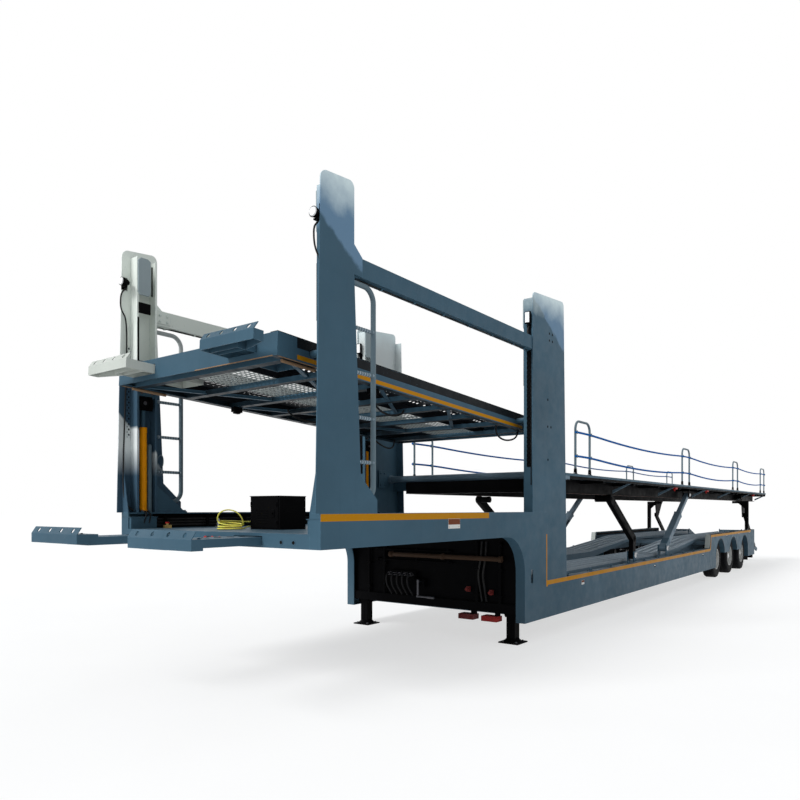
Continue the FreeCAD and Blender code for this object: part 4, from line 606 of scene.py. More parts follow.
UP = Vector((0.0, 0.0, 1.0))
FORWARD = Vector((1.0, 0.0, 0.0))
SKIN = 0.008                                   # side plates
PROUD = 0.0005                                 # side plates' trim stands this far off them
SILL = reach("front_post_left")[2]             # gooseneck beam's top
SILL_LOW = reach("gooseneck_deck")[2]
SILL_DECK = reach("power_cabinet")[2]          # gooseneck deck's top
GUIDE_DEPTH = 0.12
FRONT_GUIDE = 0.19
GUIDES = (FRONT_GUIDE, NECK_GUIDE)
GUIDE_HALF = 0.105
NECK_EDGE = 3.37
POST_TOP = reach("front_post_left")[3] - 0.10
CYLINDER = 0.052                               # lift cylinders' inset
BARREL = 0.034
BARREL_TOP = reach("lift_barrels")[3]
BELLY_TOP = 0.67
COVER_TOP = 0.95
COVER_FRONT = 11.63
BULKHEAD = reach("neck_bulkhead")[0] + 0.10
FRAME_END = reach("side_frame_left")[1]
TRACK_IN, TRACK_RUN = 0.345, 0.604             # front deck's wheel tracks: inset and width
REAR_TRACK_IN = 0.405
REAR_TOP = reach("rear_upper_frame")[3]        # rear deck's edge
REAR_BEAM_TOP = REAR_TOP - 0.04
REAR_BEAM_LOW = REAR_BEAM_TOP - 0.19
REAR_FRONT = reach("rear_upper_tracks")[0]
REAR_END = reach("rear_upper_frame")[1]
WALK_FRONT = reach("hoops")[0] - 0.34
HOOPS = (4.63, 5.10, 9.55, 10.04, 13.90, 14.43, 17.45, 18.01)
PIVOT = at(NECK_GUIDE, 0.0, 2.492)
TILT = Matrix.Rotation(math.radians(-DECK_TILT), 3, "Y")
LEVEL_LOW = PIVOT.z - 0.086                    # front deck's channels, before it tilts
LEVEL_TOP = PIVOT.z + 0.086
LIP_LOW = LEVEL_LOW + 0.045
TRACK_LEVEL = LEVEL_LOW + 0.131
DECK_FRONT = -0.18
DECK_REAR = 3.95
ARM_PIN = (7.23, 0.76)                         # pins as (station, height)
STRUT_PIN = (8.96, 0.79)
STRUT_EYE = (10.54, 1.76)
LEG_PIN = (15.95, 1.33)
LEG_FOOT = (17.22, 0.50)
AXLES = [12.5 + 1.31 * index for index in range(3)]
HUB = reach("tyre_1_left")[3] / 2
WHEEL_IN = 0.075                               # wheels' inset


def cell_edge(count):
    """Points on a square cell's edge, one for each point of its opening."""
    corners = []
    for angle in turns(count):
        c, s = math.cos(angle), math.sin(angle)
        far = 0.5 / max(abs(c), abs(s))
        corners.append((c * far, s * far))
    return corners


def opening(width, height, count=8, slant=0.0):
    """A round or slanted opening in a cell, as shares of the cell."""
    return [(width / 2 * math.cos(a) + slant * height / 2 * math.sin(a), height / 2 * math.sin(a))
            for a in turns(count)]


def holed(piece, place, across, along, hole, solid_at=None):
    """A plate of cells, each with an opening; place(u, v, w) gives points, w is 0 or 1 on its faces."""
    bm = piece.bm
    edge = cell_edge(len(hole))
    steps = [(n, (n + 1) % len(hole)) for n in range(len(hole))]
    for i in range(across):
        for k in range(along):
            solid = solid_at is not None and solid_at(i, k)
            layers = [[[bm.verts.new(place(i + 0.5 + a, k + 0.5 + b, w)) for a, b in ring]
                       for ring in ((edge,) if solid else (edge, hole))] for w in (0, 1)]
            for layer in layers:
                if solid:
                    bm.faces.new(layer[0])
                    continue
                for n, m in steps:
                    bm.faces.new((layer[0][n], layer[0][m], layer[1][m], layer[1][n]))
            if not solid:
                for n, m in steps:
                    bm.faces.new((layers[0][1][n], layers[0][1][m], layers[1][1][m], layers[1][1][n]))
            for n, m in steps:
                a, b = edge[n], edge[m]
                rim = ((i == 0 and a[0] == b[0] == -0.5) or (i == across - 1 and a[0] == b[0] == 0.5)
                       or (k == 0 and a[1] == b[1] == -0.5) or (k == along - 1 and a[1] == b[1] == 0.5))
                if rim:
                    bm.faces.new((layers[0][0][n], layers[0][0][m], layers[1][0][m], layers[1][0][n]))
    bmesh.ops.remove_doubles(bm, verts=bm.verts, dist=0.0003)


# ---- supply lead ---------------------------------------------------------------

LEAD = 0.006                                   # the lead's radius
LEAD_EXIT = (0.862, 1.495, 0.062)              # places of the lead stand above the gooseneck deck
PLUG_T, PLUG_Z = 1.536, SILL_DECK + 0.020
HEAP = (0.45, 1.54)                            # the heap's middle


def heap_turns(first, last, waypoints, step=28.0):
    """Points of loose turns round the heap; waypoints give (share, radius, height)."""
    points = []
    count = round((last - first) / step)
    for index in range(count + 1):
        share = index / count
        for (a, ra, ha), (b, rb, hb) in zip(waypoints, waypoints[1:]):
            if a <= share <= b:
                part = (share - a) / (b - a)
                radius, height = ra + (rb - ra) * part, ha + (hb - ha) * part
                break
        angle = math.radians(first + (last - first) * share)
        radius *= 1.0 + 0.03 * math.cos(2 * angle - 4.4)
        points.append((HEAP[0] + radius * math.cos(angle), HEAP[1] + radius * math.sin(angle), height))
    return points


def lead_route():
    """From the gland over the deck, round the heap's top, down into it, round it again and out."""
    route = [LEAD_EXIT, (0.862, 1.530, 0.062), (0.849, 1.576, 0.062), (0.812, 1.609, 0.062),
             (0.758, 1.629, 0.063), (0.700, 1.641, 0.065), (0.642, 1.648, 0.069), (0.584, 1.660, 0.071),
             (0.528, 1.664, 0.073), (0.480, 1.648, 0.074)]
    route += heap_turns(98, 462, ((0.0, 0.108, 0.076), (0.15, 0.101, 0.058), (0.32, 0.097, 0.043),
                                  (0.6, 0.100, 0.046), (0.8, 0.110, 0.056), (1.0, 0.1165, 0.064)))
    route += [(0.397, 1.645, 0.066), (0.377, 1.633, 0.100), (0.374, 1.598, 0.152), (0.411, 1.545, 0.180),
              (0.466, 1.492, 0.167), (0.507, 1.455, 0.116), (0.526, 1.452, 0.052)]
    route += heap_turns(-22, 980, ((0.0, 0.114, 0.036), (0.08, 0.110, 0.030), (0.34, 0.100, 0.0245),
                                   (0.5, 0.094, 0.0215), (0.6, 0.0925, 0.0145), (0.71, 0.098, 0.008),
                                   (0.85, 0.110, 0.0075), (1.0, 0.121, 0.009)))
    route += [(0.492, 1.424, 0.010), (0.542, 1.447, 0.013), (0.588, 1.488, 0.018), (0.634, 1.522, 0.021),
              (0.682, PLUG_T, 0.020), (0.726, PLUG_T, 0.020)]
    return [at(s, t, SILL_DECK + height) for s, t, height in route]


def supply_lead():
    """The yellow lead from its gland to a loose heap, its plug with pins, and its strain relief."""
    lead = tube("yellow_lead", "lead", [lead_route()], LEAD, sides=4, steps=6)
    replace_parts(lead, "supply_lead", "lead_coil")

    plug = Piece("lead_plug_shell", "hose")
    for s0, s1, r0, r1, sides in ((0.7262, 0.740, 0.0105, 0.013, 28), (0.740, 0.752, 0.0165, 0.0165, 6),
                                  (0.752, 0.778, 0.015, 0.0185, 32), (0.778, 0.783, 0.0198, 0.0198, 32),
                                  (0.783, 0.800, 0.0185, 0.0185, 32), (0.800, 0.8105, 0.0198, 0.0194, 32)):
        plug.rod(at(s0, PLUG_T, PLUG_Z), at(s1, PLUG_T, PLUG_Z), r0, sides, r1)
    for angle in turns(12):
        rib = Vector((0, 0.0172 * math.sin(angle), 0.0172 * math.cos(angle)))
        plug.rod(at(0.757, PLUG_T, PLUG_Z) + rib, at(0.778, PLUG_T, PLUG_Z) + rib, 0.0016, 8)
    shell = plug.close(0.0008)
    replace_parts(shell, "lead_plug")
    pins = Piece("lead_plug_pins", "brass")
    for angle in turns(3):
        pin = Vector((0, 0.008 * math.sin(angle), 0.008 * math.cos(angle)))
        pins.rod(at(0.809, PLUG_T, PLUG_Z) + pin, at(0.8112, PLUG_T, PLUG_Z) + pin, 0.0028, 14)
    relief = Piece("lead_strain_relief", "hose")
    exit_s, exit_t, exit_z = LEAD_EXIT[0], LEAD_EXIT[1], SILL_DECK + LEAD_EXIT[2]
    relief.rod(at(exit_s, 1.465, exit_z), at(exit_s, 1.473, exit_z), 0.019, 6)
    for n in range(4):
        t = 1.4755 + n * 0.0045
        relief.rod(at(exit_s, t, exit_z), at(exit_s, t + 0.0022, exit_z), 0.0152 - 0.0012 * n, 24)
    pins.close(0.0004)
    relief.close(0.0004)


# ---- posts ---------------------------------------------------------------------

def racks():
    """Strips with round holes that the decks' safety pawls catch, up each post, with a dark sheet behind them
    as painted shade in the holes.
    """
    pitch = 0.051
    neck_face = NECK_GUIDE - GUIDE_HALF - 0.001
    for name, look, z0, z1, spot in (
            ("front_racks", "pale", 2.16, 3.02,
             lambda side, u, v, w: at(0.047 + 0.036 * u, SKIN + 0.001 + 0.006 * w, v, side)),
            ("neck_racks", "black", SILL + 0.5, POST_TOP - 0.3,
             lambda side, u, v, w: at(neck_face - 0.006 * w, 0.03 + 0.05 * u, v, side))):
        piece = Piece(name, look)
        # Painted shade: a dark sheet behind each strip shows through its holes.
        hole_shade_sheet = Piece(name + "_hole_shade", "hole")
        count = round((z1 - z0) / pitch)
        for side in SIDES:
            holed(piece, lambda u, v, w, side=side: spot(side, u, z0 + v * (z1 - z0) / count, w),
                  1, count, opening(0.56, 0.42, 12))
            corners = [spot(side, u, z, 0.0) for u, z in ((0, z0), (1, z0), (1, z1), (0, z1))]
            depth = spot(side, 0, z0, 0.0) - spot(side, 0, z0, 1.0)
            hole_shade_sheet.prism(corners, depth / 6)
        close(0.0, piece, hole_shade_sheet)


def guide_covers():
    """Raised plates that close the guides' tops, with dark slots and catches round them; the black slabs
    paint the shade in the slots and openings.
    """
    piece = Piece("guide_covers", "cover")
    slots = Piece("guide_cover_slot_shades", "black")
    low, turn_low, top, turn_top = POST_TOP - 0.35, POST_TOP - 0.32, POST_TOP, POST_TOP - 0.03
    for middle in GUIDES:
        front, rear = middle - GUIDE_HALF + 0.004, middle + 0.03
        piece.plate([(front, turn_low), (front + 0.02, low), (rear - 0.02, low), (rear, turn_low),
                     (rear, POST_TOP - 0.02), (rear - 0.03, top), (front + 0.03, top), (front, turn_top)],
                    GUIDE_DEPTH, 0.014)
        for s0, s1, depth, z0, z1 in ((rear + 0.012, rear + 0.026, 0.004, 0.34, 0.06),
                                      (front + 0.01, rear, 0.01, 0.52, 0.42),
                                      (front - 0.002, front + 0.014, 0.006, 0.98, 0.56)):
            slots.slab(s0, s1, GUIDE_DEPTH, GUIDE_DEPTH + depth, POST_TOP - z0, POST_TOP - z1)
    close(0.003, piece)
    close(0.001, slots)


def post_lamps():
    """A round work lamp on each front post's edge, a flat lamp on each neck post's, and their cables."""
    body = Piece("post_lamp_bodies", "black")
    glass = Piece("post_lamp_glasses", "white_lens")
    z = 3.6
    edge = NECK_EDGE
    runs = []
    for side in SIDES:
        front = at(-0.02, 0.045, z, side)
        body.rod(front - FORWARD * 0.05, front + FORWARD * 0.012, 0.029, 24, 0.040)
        body.rod(front - FORWARD * 0.066, front - FORWARD * 0.05, 0.018, 16)
        for low, high in (((-0.04, 0.041, -0.048), (-0.012, -0.02, -0.036)),
                          ((-0.075, 0.041, -0.066), (-0.012, 0.037, 0.056))):
            body.block(front + Vector((low[0], side * low[1], low[2])),
                       front + Vector((high[0], side * high[1], high[2])))
        glass.rod(front + FORWARD * 0.010, front + FORWARD * 0.020, 0.036, 28, 0.029)
        runs.append(path(side, (0.03, 0.045, z), (0.03, 0.045, z - 0.05), (-0.028, 0.04, z - 0.10),
                         (-0.034, 0.034, z - 0.2), (-0.02, 0.03, z - 0.27), (0.03, 0.03, z - 0.33),
                         (0.035, 0.03, z - 0.6), (0.02, 0.03, 2.5), (0.0, 0.03, 2.0), (-0.005, 0.03, 1.62),
                         (0.03, 0.05, SILL + 0.05), (0.08, 0.06, SILL + 0.02)))
        runs.append(path(side, (edge, 0.05, z - 0.085), (edge - 0.03, 0.05, z - 0.12),
                         (edge - 0.03, 0.045, z - 0.2), (edge + 0.03, 0.035, z - 0.26),
                         (edge + 0.02, 0.03, z - 0.6), (edge + 0.02, 0.03, SILL + 0.3)))
    body.slab(edge - 0.03, edge, 0.02, 0.085, z - 0.06, z + 0.07)
    body.slab(edge - 0.02, edge + 0.02, 0.04, 0.06, z - 0.09, z - 0.06)
    glass.slab(edge - 0.036, edge - 0.03, 0.027, 0.078, z - 0.052, z + 0.062)
    close(0.001, body)
    close(0.0015, glass)
    tube("post_lamp_cables", "hose", runs, 0.007)


def cylinder_dressing():
    """Gland nuts, bolted feet, and unions with hoses at the feet of the four lift cylinders."""
    gland = Piece("cylinder_glands", "orange")
    foot = Piece("cylinder_feet", "frame")
    union_nuts = Piece("cylinder_unions", "brass")
    hoses = []
    port_z = SILL + 0.013
    for middle in GUIDES:
        for z0, z1, r0, r1 in ((-0.05, -0.001, BARREL + 0.001, None),
                               (-0.001, 0.002, BARREL - 0.004, BARREL - 0.008)):
            gland.bar((middle, CYLINDER, BARREL_TOP + z0), (middle, CYLINDER, BARREL_TOP + z1), r0, 32, r1)
        foot.bar((middle, CYLINDER, SILL), (middle, CYLINDER, SILL + 0.02), BARREL + 0.012, 32,
                 BARREL + 0.002)
        foot.slab(middle - 0.05, middle + 0.05, SKIN, 0.1, SILL, SILL + 0.012)
        foot.studs([(middle + ds, 0.09, SILL + 0.012) for ds in (-0.04, 0.04)], UP, 0.008, 0.008)
        inner = CYLINDER + BARREL + 0.006
        for ds in (-0.013, 0.013):
            s, low_s = middle + ds, middle + ds * 2
            union_nuts.bar((s, CYLINDER, port_z), (s, inner, port_z), 0.007, 12)
            union_nuts.bar((s, inner, port_z), (s, inner + 0.012, port_z), 0.009, 6)
            hoses += [path(side, (s, inner + 0.01, port_z), (s, inner + 0.03, port_z - 0.004),
                           (low_s, 0.145, SILL - 0.03), (low_s - 0.02, 0.135, SILL - 0.1)) for side in SIDES]
    gland.close(0.001, True)
    close(0.0015, foot)
    close(0.0008, union_nuts)
    tube("cylinder_hoses", "hose", hoses, 0.0075)


def guide_bars():
    """A round-topped bar that stands beside each front cylinder, and a grab handle behind."""
    bar = Piece("guide_bars", "grey")
    s0, s1, top = 0.230, 0.261, 2.09
    crown = [(s0 + (s1 - s0) * (1 - math.cos(math.pi * n / 10)) / 2, top + 0.016 * math.sin(math.pi * n / 10))
             for n in range(11)]
    bar.plate([(s0, SILL)] + crown + [(s1, SILL)], 0.036, 0.048)
    close(0.002, bar)
    tube("post_handles", "grey", [path(side, (0.335, SKIN, 1.9), (0.335, 0.05, 1.9), (0.335, 0.06, 1.945),
                                       (0.335, 0.06, 1.98), (0.38, 0.06, 2.02), (0.41, 0.05, 1.98),
                                       (0.41, 0.04, 1.9), (0.41, SKIN, 1.9)) for side in SIDES], 0.006)


def post_feet():
    """Boxes at the posts' feet, and gussets with bolted base bars behind them."""
    piece = Piece("post_foot_gussets", "frame")
    bolts = Piece("post_foot_bolts", "frame")
    piece.slab(0.01, 0.28, SKIN, 0.14, SILL_DECK, SILL_DECK + 0.105)
    piece.slab(0.0, 0.29, SKIN, 0.146, SILL_DECK + 0.105, SILL_DECK + 0.111)
    gusset = [(0.295, SILL + 0.012), (0.6, SILL + 0.012), (0.6, SILL + 0.03), (0.295, SILL + 0.27)]
    for t in (0.03, 0.085):
        piece.plate(gusset, t, 0.01)
    piece.slab(0.3, 0.63, 0.012, 0.105, SILL + 0.012, SILL + 0.024)
    bolts.studs([(s, 0.06, SILL + 0.024) for s in (0.34, 0.42, 0.5, 0.58)], UP, 0.012, 0.01)
    close(0.002, piece)
    close(0.001, bolts)


def neck_holes():
    """Dark discs of painted shade for the lightening holes and plugs on the outside of each neck post."""
    piece = Piece("neck_post_hole_shades", "hole")
    for s, z in ((3.80, 3.43), (3.88, 3.43), (3.80, 3.51), (3.88, 3.51), (3.755, 2.742),
                 (3.755, 2.433), (3.84, 2.433), (3.76, 2.053)):
        for height, radius in ((0.0012, 0.015), (0.002, 0.010)):
            piece.bar((s, 0.001, z), (s, 0.001 - height, z), radius, 20)
    close(0.0, piece)


def top_beam_joints():
    """Splice plates with bolts where the top beams meet the posts, and a clipped cable under each beam."""
    plates = Piece("top_beam_splices", "beams")
    bolts = Piece("top_beam_bolts", "beams")
    s0, s1, low, high = reach("top_beams")
    for start in (s0, s1 - 0.16):
        plates.slab(start, start + 0.16, 0.098, 0.106, low + 0.02, high - 0.02)
        plates.slab(start, start + 0.16, 0.02, 0.09, low - 0.008, low)
        for s in (start + 0.04, start + 0.12):
            bolts.studs([(s, 0.106, z) for z in (low + 0.045, high - 0.045)], (0, -1, 0), 0.011, 0.009)
            bolts.studs([(s, 0.055, low - 0.008)], -UP, 0.011, 0.009)
    for index in range(6):
        s = 0.75 + index * 0.45
        bolts.slab(s, s + 0.02, 0.045, 0.075, low - 0.014, low)
    close(0.002, plates)
    close(0.001, bolts)
    tube("top_beam_cables", "hose", [path(side, (s0 + 0.02, 0.06, low - 0.006), (1.2, 0.06, low - 0.009),
                                          (2.2, 0.06, low - 0.007), (s1 - 0.02, 0.06, low - 0.006))
                                     for side in SIDES], 0.006)


def carriage_dressing():
    """Keeper plate, pulley and pawl on each guide carriage."""
    face = 0.106
    for node, body, middle in (("front_carriages", "front_deck_nose", FRONT_GUIDE),
                               ("rear_carriages", "front_deck_lift", NECK_GUIDE)):
        pin = reach(node)[3] - 0.23
        plate = Piece(node + "_keepers", "frame", body)
        bolts = Piece(node + "_bolts", "dull", body)
        pulley = Piece(node + "_pulleys", "black", body)
        plate.slab(middle - 0.07, middle + 0.07, face, face + 0.01, pin - 0.085, pin + 0.085)
        plate.bar((middle, face + 0.01, pin), (middle, face + 0.03, pin), 0.05, 32, 0.042)
        bolts.studs([(middle + ds, face + 0.01, pin + dz) for ds in (-0.055, 0.055) for dz in (-0.07, 0.07)],
                    (0, -1, 0), 0.010, 0.009)
        pulley.slab(middle - 0.075, middle + 0.065, face - 0.012, face, pin - 0.235, pin - 0.10)
        hub_s, hub_z = middle - 0.03, pin - 0.17
        for t0, t1, radius in ((0.0, 0.008, 0.042), (0.008, 0.018, 0.032), (0.018, 0.026, 0.042)):
            pulley.bar((hub_s, face + t0, hub_z), (hub_s, face + t1, hub_z), radius, 28)
        bolts.studs([(hub_s, face + 0.026, hub_z)], (0, -1, 0), 0.012, 0.01)
        pulley.slab(middle + 0.02, middle + 0.055, face, face + 0.022, pin - 0.22, pin - 0.13)
        close(0.002, plate)
        close(0.001, bolts)
        close(0.0015, pulley)


def ladder_clamps():
    """Bolted clamps where each ladder meets its post, and ribbed grip sleeves on the rungs."""
    piece = Piece("ladder_clamps", "zinc")
    grips = Piece("ladder_grips", "track")
    s0, s1, low, high = reach("ladders")
    t = 0.0293
    for z in (low + 0.021, high - 0.021):
        piece.slab(s0, s0 + 0.012, t - 0.021, t + 0.045, z - 0.03, z + 0.03)
        piece.bar((s0 + 0.012, t, z), (s0 + 0.035, t, z), 0.027, 24)
        piece.studs([(s0 + 0.012, t + 0.034, z + dz) for dz in (-0.02, 0.02)], -FORWARD, 0.006, 0.005)
    for index in range(4):
        z = 1.85 + 0.34 * index
        for s in (s0, s1 - 0.036):
            grips.bar((s, t, z), (s + 0.022, t, z), 0.019)
        for rib in range(9):
            s = s0 + 0.04 + rib * 0.029
            grips.bar((s, t, z), (s + 0.008, t, z), 0.0155, 12)
    close(0.001, piece)
    close(0.0, grips)


# ---- gooseneck --------------------------------------------------------------------

def sill_trim():
    """Rivets along the tape, bare plates with brown bands, and small dark markers on the side frames."""
    rivets = Piece("sill_rivets", "ochre")
    plates = Piece("side_plates", "plate")
    bands = Piece("side_plate_bands", "brown")
    reflectors = Piece("side_reflectors", "hole")
    for index in range(24):
        s, z = 0.06 + index * 0.1, 1.425 + (0.018 if index % 2 else -0.018)
        rivets.bar((s, 0.001, z), (s, -PROUD, z), 0.006, 10, 0.003)
    for s in (1.68, 1.84):
        for z in (1.325, 1.385):
            rivets.bar((s, -PROUD, z), (s, -2 * PROUD, z), 0.005, 10, 0.003)
    for s0, s1, z0, z1, band_low in ((1.66, 1.86, 1.31, 1.40, 1.346), (4.75, 4.84, 0.53, 0.585, 0.556)):
        plates.slab(s0, s1, 0.002, -PROUD, z0, z1)
        bands.slab(s0 + 0.002, s1 - 0.002, -PROUD, -2 * PROUD, band_low, z1 - 0.002)
    for s, z in ((7.8, 0.566), (10.95, 0.575), (13.12, 0.885), (14.43, 0.882), (15.7, 0.88)):
        reflectors.slab(s - 0.045, s + 0.045, 0.002, -PROUD, z - 0.018, z + 0.018)
        plates.slab(s - 0.03, s + 0.03, -PROUD, -2 * PROUD, z - 0.002, z + 0.014)
    close(0.0, rivets)
    close(0.0008, plates, bands, reflectors)


def coupling_board():
    """Round ports in the gooseneck's front beam, and couplings with caps at its middle."""
    # Painted shade: dark discs inside the rims stand for the ports' hollows.
    ports = Piece("front_beam_ports", "hole")
    rims = Piece("front_beam_rims", "frame")
    for t in (0.272, 0.403):
        rims.bar((-0.0005, t, 1.24), (-0.003, t, 1.24), 0.019, 28)
        ports.bar((-0.003, t, 1.24), (-0.004, t, 1.24), 0.0135, 24)
    parts = Piece("coupling_unions", "dull")
    caps = Piece("coupling_caps", "red")
    for index in range(3):
        t = HALF - 0.2 + index * 0.09
        for piece, s0, s1, radius, sides, radius_end in ((parts, 0.0005, 0.03, 0.016, 16, None),
                                                         (parts, 0.03, 0.037, 0.022, 6, None),
                                                         (caps, 0.037, 0.045, 0.02, 20, 0.015)):
            piece.rod(at(-s0, t, 1.252), at(-s1, t, 1.252), radius, sides, radius_end)
    close(0.0, ports)
    close(0.0008, rims, parts, caps)


def cabinet_dressing():
    """Door with louvres, lid, hinges and latch of the cabinet on the gooseneck."""
    s0, s1, low, high = reach("power_cabinet")
    door = Piece("cabinet_door", "black")
    half = 0.19
    face = FRONT - s0
    door.block((face, -half + 0.015, low + 0.015), (face + 0.006, half - 0.015, high - 0.02))
    for index in range(6):
        z = low + 0.06 + index * 0.022
        door.block((face + 0.004, -0.11, z), (face + 0.010, 0.05, z + 0.005),
                   Matrix.Rotation(math.radians(25), 3, "Y"))
    door.block((FRONT - s1 - 0.004, -half - 0.004, high), (face + 0.01, half + 0.004, high + 0.006))
    for y in (-half + 0.015, half - 0.03):
        for z in (low + 0.06, high - 0.07):
            door.rod((face + 0.009, y, z - 0.02), (face + 0.009, y, z + 0.02), 0.006, 12)
    door.block((face + 0.006, 0.09, low + 0.11), (face + 0.012, 0.13, low + 0.18))
    door.rod((face + 0.012, 0.11, low + 0.145), (face + 0.026, 0.11, low + 0.145), 0.008, 14)
    close(0.0015, door)


def inner_face_shade_trays():
    """Black trays with clipped hoses along the gooseneck's sides, which paint the shade on the side frames'
    inner faces, and a valve and a post beside them.
    """
    tray = Piece("inner_face_shade_trays", "black")
    # Painted shade: a black sheet over each side frame's inner face.
    tray.slab(0.32, 3.16, SKIN, 0.014, SILL_DECK + 0.004, SILL - 0.012)
    for index in range(6):
        s = 0.42 + 0.5 * index
        tray.slab(s, s + 0.03, 0.014, 0.05, SILL_DECK + 0.012, SILL_DECK + 0.118)
    close(0.0008, tray)
    runs = []
    for side in SIDES:
        for row in range(3):
            z = SILL_DECK + 0.028 + 0.029 * row
            runs.append(path(side, (0.33, 0.03, z), (1.3, 0.031, z), (2.2, 0.029, z), (3.15, 0.03, z)))
    tube("tray_hoses", "hose", runs, 0.012)
    valve = Piece("gooseneck_valves", "brass")
    knob = Piece("gooseneck_valve_knobs", "red")
    post = Piece("gooseneck_posts", "zinc")
    valve.slab(0.325, 0.395, 0.17, 0.21, SILL_DECK, SILL_DECK + 0.03)
    for piece, s, t, z0, z1, radius, sides, radius_end in (
            (valve, 0.36, 0.19, 0.03, 0.045, 0.012, 16, None),
            (knob, 0.36, 0.19, 0.045, 0.06, 0.022, 24, 0.017),
            (post, 0.98, 0.16, 0.0, 0.006, 0.03, 24, None),
            (post, 0.98, 0.16, 0.006, 0.06, 0.012, 20, None),
            (post, 0.98, 0.16, 0.06, 0.085, 0.02, 24, 0.012)):
        piece.bar((s, t, SILL_DECK + z0), (s, t, SILL_DECK + z1), radius, sides, radius_end)
    close(0.0008, valve, knob, post)


# ---- front upper deck ---------------------------------------------------------------

def wheel_tracks(piece, ends, inset, levels, lip_levels, cells, hole, solid_at):
    """A perforated track with a lip along each edge, on both sides."""
    s0, s1 = ends
    across, along = cells
    inner = inset + SKIN
    for side in SIDES:
        holed(piece, lambda u, v, w, side=side: at(s0 + (s1 - s0) * v / along, inner + TRACK_RUN * u / across,
                                                   levels[0] + (levels[1] - levels[0]) * w, side),
              across, along, hole, solid_at)
    for t in (inset, inner + TRACK_RUN):
        piece.slab(s0, s1, t, t + SKIN, *lip_levels)


def upper_plates():
    """Perforated tracks with slanted slots, their lips, and the pale panel between them."""
    s0, s1 = DECK_FRONT + SKIN, DECK_REAR - SKIN
    tracks = Piece("upper_track_plates", "dark_track", "front_deck")
    wheel_tracks(tracks, (s0, s1), TRACK_IN, (TRACK_LEVEL, TRACK_LEVEL + 0.003),
                 (LIP_LOW, TRACK_LEVEL + 0.029), (6, 64), opening(0.36, 0.8, 8, 0.5),
                 lambda i, k: k % 8 == 7 or i in (0, 5))
    tracks.tilt()
    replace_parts(tracks.close(0.0), "upper_tracks")
    panel = Piece("upper_centre_panel", "panel", "front_deck")
    half = HALF - 0.971
    holed(panel, lambda u, v, w: Vector((FRONT - s0 - (s1 - s0) * v / 78, -half + 2 * half * u / 12,
                                         LIP_LOW + 0.002 * w)),
          12, 78, opening(0.62, 0.66), lambda i, k: k % 13 == 12)
    panel.tilt()
    close(0.0, panel)


def upper_braces():
    """Diagonal braces, lip gussets, primer-coloured lines and hanging blocks under the front deck."""
    braces = Piece("upper_braces", "frame", "front_deck")
    low = LEVEL_LOW + 0.008
    for index in range(3):
        s0 = 0.02 + index * 1.08
        for side in SIDES:
            start, end = at(s0, 0.34, low, side), at(s0 + 1.0, 0.93, low, side)
            along = (end - start).normalized()
            across = Vector((-along.y, along.x, 0)) * 0.018
            for height, width in ((0.006, 1.0), (0.032, 0.16)):
                edge = across * width
                braces.prism([start + edge, start - edge, end - edge, end + edge], UP * height)
    for index in range(8):
        s = -0.06 + 0.54 * index + 0.035
        for t in (0.338, 0.97):
            braces.plate([(s - 0.03, LIP_LOW), (s + 0.03, LIP_LOW), (s + 0.03, TRACK_LEVEL),
                          (s - 0.03, TRACK_LEVEL)], t, 0.006)
    lines = Piece("upper_flange_lines", "beige", "front_deck")
    lines.slab(DECK_FRONT + 0.03, 0.3, 0.262, 0.282, LEVEL_LOW - 0.001, LEVEL_LOW + 0.0075)
    lines.bar((DECK_FRONT + 0.1, 0.312, LEVEL_LOW - 0.013), (0.26, 0.312, LEVEL_LOW - 0.013), 0.013, 20)
    lines.block(at(DECK_FRONT - 0.001, 0.30, LEVEL_LOW - 0.001),
                at(DECK_FRONT + 0.006, 1.2, LEVEL_LOW + 0.006))
    blocks = Piece("upper_hanging_blocks", "black", "front_deck")
    blocks.slab(1.0, 1.1, 0.345, 0.405, LEVEL_LOW - 0.05, LEVEL_LOW)
    blocks.slab(1.02, 1.08, 0.352, 0.398, LEVEL_LOW - 0.064, LEVEL_LOW - 0.05)
    blocks.slab(DECK_REAR - 0.1, DECK_REAR - 0.002, 0.2535, 0.262, LEVEL_LOW + 0.02, LEVEL_TOP - 0.02)
    for piece, bevel in ((braces, 0.0015), (lines, 0.001), (blocks, 0.0015)):
        piece.tilt()
        piece.close(bevel)


def upper_edge():
    """End plates, and black strips of painted shade, along the front deck's side channels."""
    ends = Piece("upper_end_plates", "light", "front_deck")
    strips = Piece("upper_edge_shade_strips", "black", "front_deck")
    ends.slab(DECK_REAR - 0.13, DECK_REAR, 0.251, 0.258, LEVEL_LOW + 0.012, LEVEL_TOP - 0.006)
    # Painted shade: black strips over the channels' top edges.
    strips.slab(DECK_FRONT + 0.002, DECK_REAR - 0.01, 0.257, 0.335, LEVEL_TOP - 0.012, LEVEL_TOP + 0.006)
    for piece, bevel in ((ends, 0.0015), (strips, 0.0012)):
        piece.tilt()
        piece.close(bevel)


def upper_hoses():
    """Hose loops clipped under the front deck's frame."""
    loops = (((3.72, 0.36, 0.02), (3.72, 0.36, -0.03), (3.66, 0.38, -0.1), (3.5, 0.42, -0.13),
              (3.32, 0.42, -0.09), (3.22, 0.38, -0.02), (3.22, 0.37, 0.02)),
             ((1.45, 0.7, 0.02), (1.46, 0.7, -0.02), (1.6, 0.74, -0.07), (1.85, 0.78, -0.08),
              (2.05, 0.8, -0.02), (2.06, 0.8, 0.02)))
    runs = [[PIVOT + TILT @ (at(s, t, LEVEL_LOW + z, side) - PIVOT) for s, t, z in loop]
            for side in SIDES for loop in loops]
    tube("upper_hoses", "hose", runs, 0.010, "front_deck")


